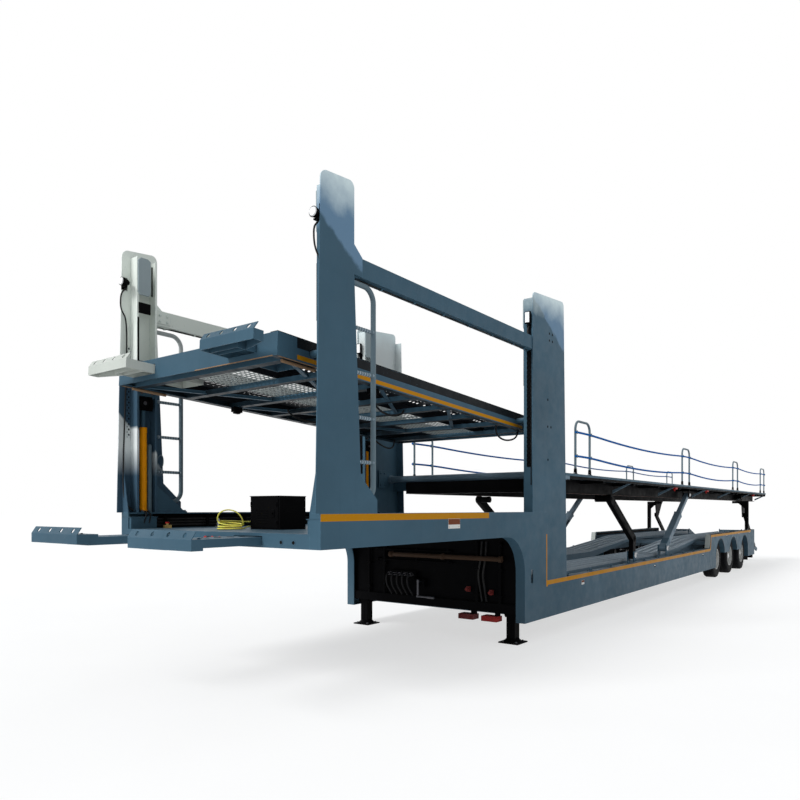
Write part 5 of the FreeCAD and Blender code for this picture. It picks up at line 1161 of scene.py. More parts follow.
def ramp_dressing():
    """Bolts on the four front ramps, and rimmed drain holes in the lower two."""
    deck, drain_level = 1.297, 1.275
    for side, word in SIDE_WORDS:
        node = "front_lower_ramp_" + word
        s0 = reach(node)[0]
        piece = Piece(node + "_fittings", "frame", "lower_ramp_" + word)
        # Painted shade: dark discs inside the rims stand for the drain holes.
        drains = Piece(node + "_drains", "hole", "lower_ramp_" + word)
        for index in range(4):
            piece.bolt(at(s0 + 0.09, 0.27 + index * 0.19, deck, side), UP, 0.009, 0.006)
            place = at(-0.4 + 0.115 * index, 0.78, drain_level, side)
            piece.rod(place, place + UP * 0.002, 0.036, 28)
            drains.rod(place + UP * 0.002, place + UP * 0.003, 0.028, 28)
        close(0.001, piece)
        close(0.0, drains)
        piece = Piece("front_upper_ramp_" + word + "_fittings", "frame", "upper_ramp_" + word)
        for index in range(4):
            piece.bolt(at(DECK_FRONT - 0.18, 0.25 + index * 0.15, LIP_LOW + 0.0753, side), UP, 0.008, 0.005)
        for s in (DECK_FRONT - 0.06, DECK_FRONT - 0.02):
            piece.bolt(at(s, 0.48, LIP_LOW + 0.04, side), outboard(side), 0.009, 0.005)
        piece.tilt()
        close(0.001, piece)


# ---- bulkhead and landing legs ----------------------------------------------------------

UNION_STEPS = [1.5 + index * 0.08 for index in range(5)]       # insets of the bulkhead's couplings


def bulkhead_pipes():
    """Pipes, valve block, couplings, winding handle and locks on the black front wall."""
    face = BULKHEAD - 0.06
    wall = BULKHEAD + 0.001
    pipe = Piece("bulkhead_pipe", "rusty")
    tubes = Piece("bulkhead_tubes", "black")
    unions = Piece("bulkhead_unions", "dull")
    handle = Piece("bulkhead_handle", "dull")
    bits = Piece("bulkhead_locks", "dark_red")
    pipe.rod(at(face, 0.3, 0.93), at(face, 1.83, 0.93), 0.028, 28)
    for t in (0.3, 1.065, 1.83):
        pipe.rod(at(face, t - 0.02, 0.93), at(face, t + 0.02, 0.93), 0.036, 28)
    boxes = [((face - 0.01, t, 0.90), (wall, t + 0.03, 0.96)) for t in (1.27, 1.75)]
    boxes += [((face + 0.015, t, z - 0.02), (wall, t + 0.02, z + 0.02)) for t in (1.0, 1.45, 2.05)
              for z in (0.86, 0.99)]
    boxes += [((face + 0.008, t - 0.03, z), (wall, t + 0.03, z + 0.02)) for t in (0.32, 0.615, 1.95, 2.2)
              for z in (0.5, 0.8, 1.08)]
    boxes += [((face, 1.46, 0.655), (wall, 1.86, 0.735)), ((face + 0.001, 1.33, 0.55), (wall, 1.47, 0.645)),
              ((face - 0.02, 1.46, 0.64), (face + 0.04, 1.86, 0.655))]
    for low, high in boxes:
        tubes.block(at(*low), at(*high))
    tubes.rod(at(face + 0.03, 0.95, 0.99), at(face + 0.03, 2.1, 0.99), 0.014)
    tubes.rod(at(face + 0.03, 0.95, 0.86), at(face + 0.03, 2.1, 0.86), 0.011)
    for t in (0.32, 0.615, 1.95, 2.2):
        tubes.rod(at(face + 0.03, t, 0.43), at(face + 0.03, t, 1.13), 0.017, 20)
    for t in UNION_STEPS:
        for s0, s1, radius, sides in ((-0.001, 0.02, 0.021, 6), (0.02, 0.05, 0.015, 16),
                                      (0.05, 0.058, 0.019, 16)):
            unions.rod(at(face - s0, t, 0.695), at(face - s1, t, 0.695), radius, sides)
    shaft = at(face, 1.40, 0.62)
    handle.rod(shaft, shaft + FORWARD * 0.035, 0.016, 20)
    handle.block(shaft + Vector((0.024, -0.012, -0.19)), shaft + Vector((0.036, 0.012, 0.02)))
    grip = shaft + Vector((0.036, 0, -0.18))
    for start, end, radius in (((-0.01, 0, 0), (0.012, 0, 0), 0.013), ((0, 0.24, 0), (0, 0, 0), 0.011),
                               ((0, 0.24, 0), (0, 0.14, 0), 0.016)):
        handle.rod(grip + Vector(start), grip + Vector(end), radius, 20)
    for t, z in ((0.735, 0.57), (0.434, 0.55)):
        bits.block(at(face + 0.02, t - 0.02, z - 0.03), at(wall, t + 0.02, z + 0.03))
        bits.rod(at(face + 0.02, t, z), at(face - 0.012, t, z), 0.012)
        bits.rod(at(face - 0.012, t, z), at(face - 0.02, t, z), 0.02, 16, 0.015)
    pipe.close(0.001, True)
    close(0.0015, tubes, bits)
    close(0.0008, unions)
    close(0.001, handle)
    s0, low = reach("neck_bulkhead")[0], reach("neck_bulkhead")[2]
    high = 0.29
    for t, name, look in ((0.33, "lock_bar_jaws", "red"), (0.63, "lock_bar_stems", "dark_red")):
        piece = Piece(name, look)
        piece.block(at(s0 - 0.002, t - 0.003, low - 0.002), at(s0 + 0.13, t + 0.193, high + 0.002))
        piece.block(at(s0 - 0.006, t + 0.02, low + 0.012), at(s0, t + 0.17, high - 0.012))
        for dt in (0.035, 0.155):
            piece.bolt(at(s0 - 0.006, t + dt, (low + high) / 2), FORWARD, 0.009, 0.006)
        close(0.003, piece)


def bulkhead_hoses():
    """Hoses that hang from the bulkhead's couplings, and two that drop down its left."""
    face = BULKHEAD - 0.06
    runs = [path(1, (face - 0.058, t, 0.695), (face - 0.09, t, 0.695), (face - 0.1, t + 0.01, 0.65),
                 (face - 0.06, t + 0.03, 0.56), (face - 0.02, t + 0.02, 0.5), (face + 0.03, t + 0.02, 0.44))
            for t in UNION_STEPS]
    runs += [path(1, (face + 0.04, t, 1.12), (face + 0.03, t, 0.95), (face + 0.02, t + 0.04, 0.75),
                  (face + 0.03, t + 0.02, 0.6), (face + 0.045, t, 0.44)) for t in (0.5, 0.56)]
    tube("bulkhead_hoses", "hose", runs, 0.011)


def leg_dressing():
    """Gearboxes, cross shaft, foot bolts and setting holes of the landing legs."""
    gear = Piece("leg_gearboxes", "black")
    shaft = Piece("leg_cross_shaft", "dull")
    middle = BULKHEAD + SKIN + 0.065
    leg_t, shaft_z = 0.215, 0.91
    gear.slab(middle + 0.06, middle + 0.115, 0.155, 0.275, 0.83, 0.99)
    gear.bar((middle + 0.115, leg_t, shaft_z), (middle + 0.135, leg_t, shaft_z), 0.05, 28)
    gear.slab(middle - 0.07, middle + 0.07, 0.145, 0.285, 0.30, 0.33)
    for index in range(6):
        z = 0.09 + index * 0.03
        gear.bar((middle - 0.054, leg_t, z), (middle - 0.058, leg_t, z), 0.009, 12)
    shaft.studs([(middle + ds, leg_t + dt, 0.014) for ds in (-0.08, 0.08) for dt in (-0.08, 0.08)],
                UP, 0.012, 0.01)
    shaft.studs([(middle + 0.115, t, z) for z in (0.86, 0.96) for t in (0.175, 0.255)],
                -FORWARD, 0.008, 0.006)
    ties = [(0.27, 2 * HALF - 0.27, 0.018)]
    ties += [(t - 0.03, t + 0.03, 0.026) for t in (0.35, HALF, 2 * HALF - 0.35)]
    for t0, t1, radius in ties:
        shaft.rod(at(middle + 0.09, t0, shaft_z), at(middle + 0.09, t1, shaft_z), radius, 24)
    close(0.002, gear)
    close(0.001, shaft)


# ---- side frames and lower deck ------------------------------------------------------------

def frame_ribs():
    """Stiffener ribs inside the side frames, and lashing eyes along the lower deck's edges."""
    ribs = Piece("side_frame_ribs", "frame")
    eyes = Piece("lashing_eyes", "frame")
    for count, first, pitch, depth, z0, z1 in ((8, 4.6, 0.85, 0.10, 0.2565, 0.6585),
                                               (4, 0.75, 0.58, 0.08, 1.2065, 1.2965)):
        for index in range(count):
            s = first + index * pitch
            ribs.slab(s, s + 0.008, SKIN - 0.001, depth, z0, z1)
    for index in range(9):
        s = 4.4 + index * 0.75
        eyes.slab(s, s + 0.08, 0.02, 0.09, BELLY_TOP, BELLY_TOP + 0.006)
        for ds in (0.016, 0.064):
            eyes.bar((s + ds, 0.055, BELLY_TOP), (s + ds, 0.055, BELLY_TOP + 0.035), 0.006, 12)
        eyes.bar((s + 0.016, 0.055, BELLY_TOP + 0.033), (s + 0.064, 0.055, BELLY_TOP + 0.033), 0.006, 12)
    close(0.001, ribs)
    close(0.0008, eyes)


def cover_trim():
    """Dark edges with rivets, and black lips round the arches, on the wheel covers."""
    lips = Piece("arch_lips", "black")
    edge = Piece("cover_edges", "black")
    radius, steps = 0.425, 40
    for index, s in enumerate(AXLES):
        for n in range(steps):
            a0, a1 = math.pi * n / steps, math.pi * (n + 1) / steps
            corners = [(s - r * math.cos(a), HUB + r * math.sin(a))
                       for a, r in ((a0, radius), (a1, radius), (a1, radius + 0.02), (a0, radius + 0.02))]
            if min(z for _, z in corners) > (0.53 if index > 0 or n > steps / 2 else 0.42):
                lips.plate(corners, -PROUD, 0.006)
    top = COVER_TOP + 0.005
    edge.slab(COVER_FRONT, FRAME_END - 0.02, 0.0, 0.1, COVER_TOP, top)
    edge.slab(COVER_FRONT, FRAME_END - 0.02, 0.1, 0.104, COVER_TOP - 0.06, top)
    for index in range(12):
        s = 11.8 + index * 0.4
        edge.bar((s, 0.05, top), (s, 0.05, top + 0.004), 0.013, 16, 0.010)
    close(0.0, lips)
    close(0.001, edge)


def slant_plates():
    """Pale slanting plates where the covers begin."""
    piece = Piece("cover_front_plates", "panel")
    piece.plate([(11.52, 0.676), (11.60, 0.956), (11.72, 0.956), (11.66, 0.90)], 0.012, 0.09)
    close(0.002, piece)


def track_treads():
    """Raised treads in rows between the ribs of the lower tracks."""
    piece = Piece("lower_track_treads", "track")
    line = [(3.82, 0.666), (9.3, 0.666), (11.8, 0.856), (FRAME_END - 0.01, 0.856)]
    pitch = (0.56 - 0.014) / 4

    def level(s):
        for (a, za), (b, zb) in zip(line, line[1:]):
            if s <= b:
                return za + (zb - za) * (s - a) / (b - a)
        return line[-1][1]

    for side in SIDES:
        s = line[0][0]
        while s < line[-1][0]:
            z0, z1 = level(s), level(s + 0.03)
            for index in range(4):
                t = 0.364 + pitch * index
                piece.prism(path(side, (s, t, z0), (s + 0.03, t, z1), (s + 0.03, t + 0.082, z1),
                                 (s, t + 0.082, z0)), UP * 0.006)
            s += 0.14
    close(0.0, piece)


# ---- rear deck -------------------------------------------------------------------------------

def rear_plates():
    """Perforated wheel tracks with lips and chequered walkways on the rear deck."""
    tracks = Piece("rear_track_plates", "dark_track", "rear_deck")
    level = REAR_BEAM_TOP + 0.001
    wheel_tracks(tracks, (REAR_FRONT, REAR_END), REAR_TRACK_IN, (level, level + 0.006),
                 (level + 0.005, level + 0.029), (5, 170), opening(0.6, 0.4, 8, 0.8),
                 lambda i, k: k % 10 == 9)
    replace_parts(tracks.close(0.0), "rear_upper_tracks")
    walks = Piece("rear_walkways", "walk", "rear_deck")
    top = level + 0.0045
    walks.slab(WALK_FRONT, REAR_END, 0.052, 0.397, level, top)
    rows = 60
    for row in range(rows):
        s = WALK_FRONT + 0.1 + (REAR_END - WALK_FRONT - 0.2) * row / (rows - 1)
        for lane in range(4):
            t = 0.09 + lane * 0.08
            lean = 0.02 if (row + lane) % 2 else -0.02
            for side in SIDES:
                walks.prism(path(side, (s - 0.05, t - lean, top), (s + 0.05, t + lean, top),
                                 (s + 0.05, t + lean + 0.012, top), (s - 0.05, t - lean + 0.012, top)),
                            UP * 0.0015)
    close(0.0, walks)


def walkway_brackets():
    """Pale slanting brackets in even steps under the rear deck's walkways, and plates at their front."""
    piece = Piece("walkway_brackets", "light", "rear_deck")
    run = REAR_END - WALK_FRONT - 0.08
    for index in range(7):
        s = WALK_FRONT + index * run / 6 + 0.1
        for side in SIDES:
            piece.prism(path(side, (s, 0.02, REAR_TOP - 0.062), (s, 0.075, REAR_TOP - 0.062),
                             (s, 0.296, REAR_BEAM_LOW + 0.075), (s, 0.296, REAR_BEAM_LOW + 0.03)),
                        -FORWARD * 0.03)
    piece.slab(WALK_FRONT, WALK_FRONT + 0.13, 0.008, 0.016, REAR_TOP - 0.075, REAR_TOP - 0.004)
    close(0.0015, piece)


def rear_edge():
    """Edge strips, brown flange lines and red lock pins along the rear deck's edges."""
    lines = Piece("rear_flange_lines", "brown", "rear_deck")
    edges = Piece("rear_edge_strips", "frame", "rear_deck")
    pins = Piece("rear_deck_locks", "red", "rear_deck")
    lines.slab(REAR_FRONT + 0.2, REAR_END - 0.02, 0.302, 0.312, REAR_BEAM_LOW - 0.001, REAR_BEAM_LOW + 0.011)
    edges.slab(WALK_FRONT, REAR_END, 0.003, 0.009, REAR_TOP - 0.03, REAR_TOP + 0.001)
    for s in (9.1, 11.4, 16.4):
        pins.slab(s - 0.07, s + 0.07, 0.01, 0.06, REAR_TOP - 0.088, REAR_TOP - 0.06)
        pins.bar((s, 0.045, REAR_TOP - 0.12), (s, 0.045, REAR_TOP - 0.085), 0.012)
        pins.bar((s, 0.006, REAR_TOP - 0.075), (s, 0.02, REAR_TOP - 0.075), 0.016)
    close(0.001, lines, edges, pins)


def cross_tube():
    """A round tube with end plates that ties the neck posts, just ahead of the rear deck."""
    tie = Piece("neck_cross_tube", "light")
    ends = Piece("neck_cross_plates", "frame")
    s, z = 4.06, 1.90
    tie.rod(at(s, 0.03, z), at(s, 2 * HALF - 0.03, z), 0.045, 40)
    for t in (0.03, 2 * HALF - 0.06):
        tie.rod(at(s, t, z), at(s, t + 0.03, z), 0.058, 36)
    ends.plate([(3.80, z - 0.12), (3.80, z + 0.12), (3.95, z + 0.12), (4.11, z + 0.05), (4.11, z - 0.05),
                (3.95, z - 0.12)], 0.018, 0.012)
    ends.studs([(a, 0.03, z + dz) for a in (3.84, 3.92) for dz in (-0.08, 0.08)], (0, -1, 0), 0.012, 0.009)
    tie.close(0.002, True)
    close(0.0015, ends)


def guard_ropes():
    """Two blue ropes along each edge, clamped at every hoop."""
    rope_in = 0.0145
    first, last = HOOPS[0], HOOPS[-1]
    runs = []
    clamps = Piece("rope_clamps", "grey", "rear_deck")
    for z, sag in ((2.45, 0.05), (2.15, 0.06)):
        run = [(first - 0.03, rope_in, z - 0.002)]
        for a, b in zip(HOOPS, HOOPS[1:]):
            gap = b - a
            drop = sag * min(1.0, gap / 4.4)
            run.append((a, rope_in, z))
            if gap > 1:
                run += [(a + gap * f, rope_in, z - drop * 4 * f * (1 - f)) for f in (0.2, 0.4, 0.6, 0.8)]
        run += [(last, rope_in, z), (last + 0.03, rope_in, z - 0.002)]
        runs += [path(side, *run) for side in SIDES]
        for s in HOOPS:
            clamps.bar((s, 0.0065, z - 0.022), (s, 0.0065, z + 0.022), 0.006, 12)
            clamps.slab(s - 0.014, s + 0.014, 0.004, 0.036, z - 0.016, z + 0.016)
    tube("guard_ropes", "rope", runs, 0.0135, "rear_deck")
    close(0.001, clamps)


def hoop_feet():
    """Sockets with bolts that hold the hoops' feet on the edge beams."""
    piece = Piece("hoop_feet", "black", "rear_deck")
    bolts = Piece("hoop_bolts", "zinc", "rear_deck")
    foot_in = 0.032
    plate_top = REAR_TOP + 0.008
    for s in HOOPS:
        piece.slab(s - 0.04, s + 0.04, foot_in - 0.0195, foot_in + 0.0195, REAR_TOP, plate_top)
        piece.bar((s, foot_in, plate_top), (s, foot_in, REAR_TOP + 0.07), 0.022, 24, 0.019)
        bolts.studs([(s + ds, foot_in, plate_top) for ds in (-0.03, 0.03)], UP, 0.006, 0.006)
        for side in SIDES:
            bolts.bolt(at(s, foot_in - 0.019, REAR_TOP + 0.045, side), outboard(side), 0.005, 0.004, False)
    close(0.001, piece)
    close(0.0008, bolts)


# ---- arms, struts and folding legs --------------------------------------------------------

def pin_caps():
    """Pin heads with keeper plates at the feet of the arms and struts, and at the struts' eyes."""
    caps = Piece("pin_caps", "zinc")
    deck = Piece("deck_pin_caps", "zinc", "rear_deck")
    for side in SIDES:
        out = outboard(side)
        for s, z in (ARM_PIN, STRUT_PIN):
            place = at(s, 0.13, z, side)
            caps.rod(place, place + out * 0.008, 0.042, 32, 0.038)
            caps.block(place + Vector((-0.055, side * 0.004, 0.02)),
                       place + Vector((0.055, side * 0.012, 0.045)))
            for ds in (-0.045, 0.045):
                caps.bolt(place + Vector((ds, side * 0.012, 0.032)), out, 0.007, 0.006)
            caps.rod(place + out * 0.008, place + out * 0.02, 0.005, 10, 0.003)
        place = at(STRUT_EYE[0], 0.147, STRUT_EYE[1], side)
        deck.rod(place, place + out * 0.008, 0.034, 32, 0.030)
        deck.block(place + Vector((-0.04, side * 0.003, -0.012)), place + Vector((0.04, side * 0.01, 0.012)))
    close(0.001, caps, deck)


def strut_dressing():
    """Dark foot shoes, weld rings and a hose on each telescopic strut."""
    strut_in, hose_in = 0.205, 0.272
    foot, eye = at(STRUT_PIN[0], strut_in, STRUT_PIN[1]), at(STRUT_EYE[0], strut_in, STRUT_EYE[1])
    run = (eye - foot).normalized()
    lift = Vector((run.z, 0, -run.x))
    shoes = Piece("strut_shoes", "frame", "strut_barrels")
    rings = Piece("strut_rings", "light", "strut_barrels")
    hoses = []
    for side in SIDES:
        foot.y = side * (HALF - strut_in)
        for piece, start, length, proud in ((shoes, 0.09, 0.16, 0.004), (rings, 1.115, 0.03, 0.006),
                                            (rings, 0.60, 0.014, 0.003)):
            half = 0.055 + proud
            a = foot + run * start
            piece.prism([a + lift * (half * up) + Vector((0, half * across, 0))
                         for up, across in ((1, 1), (1, -1), (-1, -1), (-1, 1))], run * length)
        hoses.append([at(STRUT_PIN[0], t, STRUT_PIN[1], side) + run * along + lift * rise
                      for t, along, rise in ((hose_in, 0.3, 0.0), (0.274, 0.5, 0.012), (hose_in, 0.9, 0.0))])
    close(0.003, shoes)
    close(0.002, rings)
    tube("strut_hoses", "hose", hoses, 0.010, "strut_barrels")


def arm_dressing():
    """Bosses with grease caps, and weld seams, on the outside of the bent arms."""
    piece = Piece("arm_bosses", "black", "lifting_arms")
    arm_in = 0.15
    for side in SIDES:
        out = outboard(side)
        for s, z, radius in ((7.27, 1.02, 0.048), (6.24, 1.64, 0.052)):
            place = at(s, arm_in, z, side)
            for low, high, r0, sides, r1 in ((0.0, 0.006, radius, 36, None),
                                             (0.006, 0.014, radius * 0.6, 28, radius * 0.5),
                                             (0.014, 0.02, 0.007, 12, 0.004)):
                piece.rod(place + out * low, place + out * high, r0, sides, r1)
        start, end = at(7.18, arm_in, 1.07, side), at(6.34, arm_in, 1.577, side)
        run = (end - start).normalized()
        lift = Vector((-run.z, 0, run.x)) * 0.032
        for low, high in ((-1.12, -0.88), (0.88, 1.12)):
            piece.prism([start + lift * low, start + lift * high, end + lift * high, end + lift * low],
                        out * 0.004)
    close(0.0015, piece)


def leg_ends():
    """Bolted stiffeners and end bosses on the folding legs."""
    piece = Piece("folding_leg_shoes", "black", "folding_legs")
    bolts = Piece("folding_leg_bolts", "zinc", "folding_legs")
    leg_in = 0.13
    for side in SIDES:
        out = outboard(side)
        a = at(LEG_PIN[0] + 0.12, leg_in, LEG_PIN[1] - 0.078, side)
        b = at(LEG_FOOT[0] - 0.1, leg_in, LEG_FOOT[1] + 0.066, side)
        run = (b - a).normalized()
        lift = Vector((-run.z, 0, run.x)) * 0.03
        piece.prism([a + lift, a - lift, b - lift, b + lift], out * 0.004)
        for place in (a, b, a.lerp(b, 0.5)):
            bolts.bolt(place + out * 0.004, out, 0.010, 0.007)
        end = at(LEG_FOOT[0], leg_in, LEG_FOOT[1], side)
        piece.rod(end, end + out * 0.006, 0.045, 32)
        bolts.bolt(end + out * 0.006, out, 0.016, 0.01)
    close(0.0015, piece)
    close(0.001, bolts)


# ---- wheels -------------------------------------------------------------------------------------

def tyre_piece(index, side, wheel):
    """A tyre with ribs, grooves and shoulder blocks, turned from its section."""
    radius, width, bead = HUB, 0.235, 0.2223
    half = [(bead, 0.025), (bead + 0.012, 0.014), (0.262, 0.004), (0.281, 0.0), (0.285, 0.0), (0.300, 0.0015),
            (0.3285, 0.0), (0.352, 0.004), (0.372, 0.010), (radius - 0.012, 0.018), (radius - 0.004, 0.026),
            (radius, 0.034)]
    for depth in (0.056, 0.088):
        half += [(radius, depth), (radius - 0.011, depth + 0.002), (radius - 0.011, depth + 0.010),
                 (radius, depth + 0.012)]
    section = half + [(r, width - d) for r, d in reversed(half)]
    piece = Piece("tyre_tread_" + wheel, "tyre", "wheel_" + wheel)
    centre = at(AXLES[index], WHEEL_IN, HUB, side)
    piece.ring(section, centre, side, 96)
    out = outboard(side)
    for angle in turns(48):
        radial = spoke(angle)
        around = Vector((math.cos(angle), 0, -math.sin(angle)))
        for depth in (0.009, width - 0.021):
            middle = centre + radial * 0.368 - out * (depth - 0.002)
            corners = [middle + radial * up + around * across
                       for up, across in ((0.016, 0.011), (0.016, -0.011), (-0.016, -0.008), (-0.016, 0.008))]
            piece.prism(corners, out * -0.016)
    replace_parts(piece.close(0.0), "tyre_" + wheel)


def wheel_dressing(index, side, wheel):
    """Wheel nuts, hand holes, bolted hub cap and valve."""
    nuts = Piece("wheel_nuts_" + wheel, "zinc", "wheel_" + wheel)
    # Painted shade: dark discs stand for the hand holes.
    dark = Piece("wheel_holes_" + wheel, "hole", "wheel_" + wheel)
    out = outboard(side)
    centre = at(AXLES[index], WHEEL_IN, HUB, side)
    face = centre - out * 0.12
    for angle in turns(10, 0.5):
        place = face + spoke(angle) * 0.1375
        for low, high, r0, sides, r1 in ((0.0, 0.006, 0.020, 20, None), (0.006, 0.028, 0.016, 6, 0.0145),
                                         (0.028, 0.036, 0.009, 14, None)):
            nuts.rod(place + out * low, place + out * high, r0, sides, r1)
    for angle in turns(8):
        place = face + spoke(angle) * 0.18
        dark.rod(place + out * 0.0005, place + out * 0.002, 0.018, 24)
    cap = centre - out * 0.054
    nuts.rod(cap, cap + out * 0.010, 0.078, 40, 0.074)
    nuts.rod(cap + out * 0.010, cap + out * 0.026, 0.058, 40, 0.050)
    for angle in turns(6):
        nuts.bolt(cap + spoke(angle) * 0.066 + out * 0.010, out, 0.006, 0.005, False)
    valve = centre - out * 0.09 + UP * 0.19
    stem = valve + out * 0.05 - UP * 0.004
    nuts.rod(valve, stem, 0.005, 12)
    nuts.rod(stem, valve + out * 0.064 - UP * 0.005, 0.0065, 12)
    close(0.0008, nuts)
    close(0.0, dark)


def wheels():
    for index in range(len(AXLES)):
        for side, word in SIDE_WORDS:
            wheel = "%d_%s" % (index + 1, word)
            tyre_piece(index, side, wheel)
            wheel_dressing(index, side, wheel)


# ---- bogie --------------------------------------------------------------------------------------

def spring_dressing():
    """Leaves, clamps, U-bolts and eye pins on each leaf spring."""
    leaves = Piece("spring_leaves", "black")
    clamps = Piece("spring_bolts", "zinc")
    t0, t1 = 0.425, 0.505
    low = HUB + 0.065
    for s in AXLES:
        for index in range(4):
            half = 0.44 - index * 0.07
            z = low + 0.0135 * index
            leaves.slab(s - half, s + half, t0 - 0.003, t1 + 0.003, z + 0.002, z + 0.0105)
        for ds in (-0.3, 0.3):
            leaves.slab(s + ds - 0.02, s + ds + 0.02, t0 - 0.008, t1 + 0.008, low - 0.003, low + 0.06)
        for ds in (-0.055, 0.055):
            for t in (t0 - 0.012, t1 + 0.012):
                clamps.bar((s + ds, t, HUB - 0.09), (s + ds, t, low + 0.075), 0.009, 14)
                clamps.studs([(s + ds, t, HUB - 0.082)], -UP, 0.014, 0.014)
        for z0, z1 in ((low + 0.055, low + 0.07), (HUB - 0.082, HUB - 0.066)):
            leaves.slab(s - 0.08, s + 0.08, t0 - 0.024, t1 + 0.024, z0, z1)
        for ds in (-0.445, 0.445):
            clamps.bar((s + ds, t0 - 0.008, low + 0.085), (s + ds, t1 + 0.008, low + 0.085), 0.014, 18)
    close(0.0015, leaves)
    close(0.001, clamps)


def brake_gear():
    """Brake chambers with their brackets, rods, slack levers and hoses on each axle."""
    chambers = Piece("brake_chambers", "black")
    rods = Piece("brake_rods", "zinc")
    hoses = []
    z = HUB + 0.02
    for axle in AXLES:
        s = axle + 0.16
        for t0, t1, r0, sides, r1 in ((0.62, 0.67, 0.05, 32, 0.078), (0.67, 0.685, 0.086, 36, None),
                                      (0.685, 0.74, 0.078, 32, None), (0.74, 0.755, 0.086, 36, None),
                                      (0.755, 0.80, 0.078, 32, 0.06)):
            chambers.bar((s, t0, z), (s, t1, z), r0, sides, r1)
        chambers.slab(axle + 0.03, s, 0.60, 0.612, HUB - 0.03, HUB + 0.07)
        chambers.slab(axle + 0.145, axle + 0.165, 0.60, 0.625, HUB - 0.03, HUB + 0.07)
        rods.bar((s, 0.62, z), (s, 0.53, z), 0.009, 14)
        rods.slab(axle + 0.02, axle + 0.175, 0.528, 0.54, HUB - 0.012, HUB + 0.034)
        rods.studs([(s, 0.54, z)], (0, -1, 0), 0.012, 0.01)
        rods.studs([(s, 0.612, HUB - 0.01), (s, 0.612, HUB + 0.05)], (0, 1, 0), 0.008, 0.007)
        hoses += [path(side, (s, 0.74, HUB + 0.095), (axle + 0.17, 0.74, HUB + 0.15),
                       (axle + 0.26, 0.72, HUB + 0.19), (axle + 0.42, 0.7, HUB + 0.24),
                       (axle + 0.5, 0.7, HUB + 0.33)) for side in SIDES]
    close(0.0015, chambers)
    close(0.001, rods)
    tube("brake_hoses", "hose", hoses, 0.008)


def air_tanks():
    """Two air tanks slung in straps under the lower deck's tracks, with drain taps."""
    tanks = Piece("air_tanks", "black")
    straps = Piece("air_tank_straps", "zinc")
    front, t, z = 7.5, 0.61, 0.405
    for r0, r1, d0, d1 in ((0.07, 0.115, 0.0, 0.03), (0.115, 0.125, 0.03, 0.06), (0.125, 0.125, 0.06, 0.74),
                           (0.125, 0.115, 0.74, 0.77), (0.115, 0.07, 0.77, 0.80)):
        tanks.bar((front + d0, t, z), (front + d1, t, z), r0, 48, r1)
    for s in (front + 0.16, front + 0.64):
        straps.bar((s - 0.016, t, z), (s + 0.016, t, z), 0.1275, 48)
        straps.slab(s - 0.02, s + 0.02, 0.342, 0.878, 0.528, 0.5395)
        straps.studs([(s, strap_t, 0.528) for strap_t in (0.5, 0.72)], -UP, 0.009, 0.012)
    s = front + 0.4
    straps.bar((s, t, z - 0.125), (s, t, z - 0.15), 0.012)
    straps.bar((s, t, z - 0.15), (s, t, z - 0.158), 0.018)
    tanks.close(0.001, True)
    close(0.001, straps)


def mud_flaps():
    """Ribbed rubber flaps behind the last wheels."""
    piece = Piece("mud_flaps", "hose")
    bolts = Piece("mud_flap_bolts", "zinc")
    s = AXLES[-1] + 0.45
    piece.slab(s, s + 0.008, 0.014, 0.33, 0.2, 0.62)
    for index in range(9):
        t = 0.04 + index * 0.032
        piece.slab(s - 0.004, s, t, t + 0.008, 0.22, 0.56)
    bolts.slab(s - 0.006, s + 0.014, 0.012, 0.34, 0.575, 0.61)
    bolts.slab(s - 0.004, s + 0.012, 0.30, 0.425, 0.59, 0.61)
    bolts.studs([(s - 0.006, 0.05 + index * 0.06, 0.593) for index in range(5)], FORWARD, 0.007, 0.005)
    close(0.001, piece, bolts)


# ---- tail ---------------------------------------------------------------------------------------

def tail_lamps():
    """Lamp clusters, a bare number plate, its lamp and reflectors on the tail member."""
    case = Piece("tail_lamp_cases", "black")
    red = Piece("tail_lenses_red", "red_lens")
    amber = Piece("tail_lenses_amber", "amber")
    white = Piece("tail_lenses_white", "white_lens")
    plate = Piece("number_plate", "plate")
    s = FRAME_END
    case.slab(s, s + 0.045, 0.115, 0.315, 0.52, 0.70)
    for index, piece in enumerate((amber, red, red, white)):
        t = 0.123 + (index % 2) * 0.095
        z = 0.618 - (index // 2) * 0.085
        piece.slab(s + 0.043, s + 0.054, t, t + 0.086, z, z + 0.075)
        piece.bar((s + 0.05, t + 0.043, z + 0.0375), (s + 0.058, t + 0.043, z + 0.0375), 0.028, 28, 0.022)
    case.bar((s + 0.002, 0.215, 0.71), (s + 0.04, 0.215, 0.71), 0.012)
    red.slab(s + 0.09, s + 0.094, 0.10, 0.30, 0.235, 0.285)
    for t in (0.12, 0.28):
        red.bar((s + 0.093, t, 0.26), (s + 0.096, t, 0.26), 0.012, 18, 0.009)
    for piece, near, far, half, z0, z1 in (
            (plate, 0.004, 0.008, 0.26, 0.53, 0.64), (plate, 0.007, 0.009, 0.25, 0.54, 0.63),
            (case, 0.0, 0.005, 0.275, 0.515, 0.655), (case, 0.0, 0.04, 0.06, 0.655, 0.685),
            (white, 0.012, 0.036, 0.045, 0.650, 0.656)):
        piece.block(at(s + near, HALF - half, z0), at(s + far, HALF + half, z1))
    close(0.003, case)
    close(0.002, red, amber, white)
    close(0.001, plate)


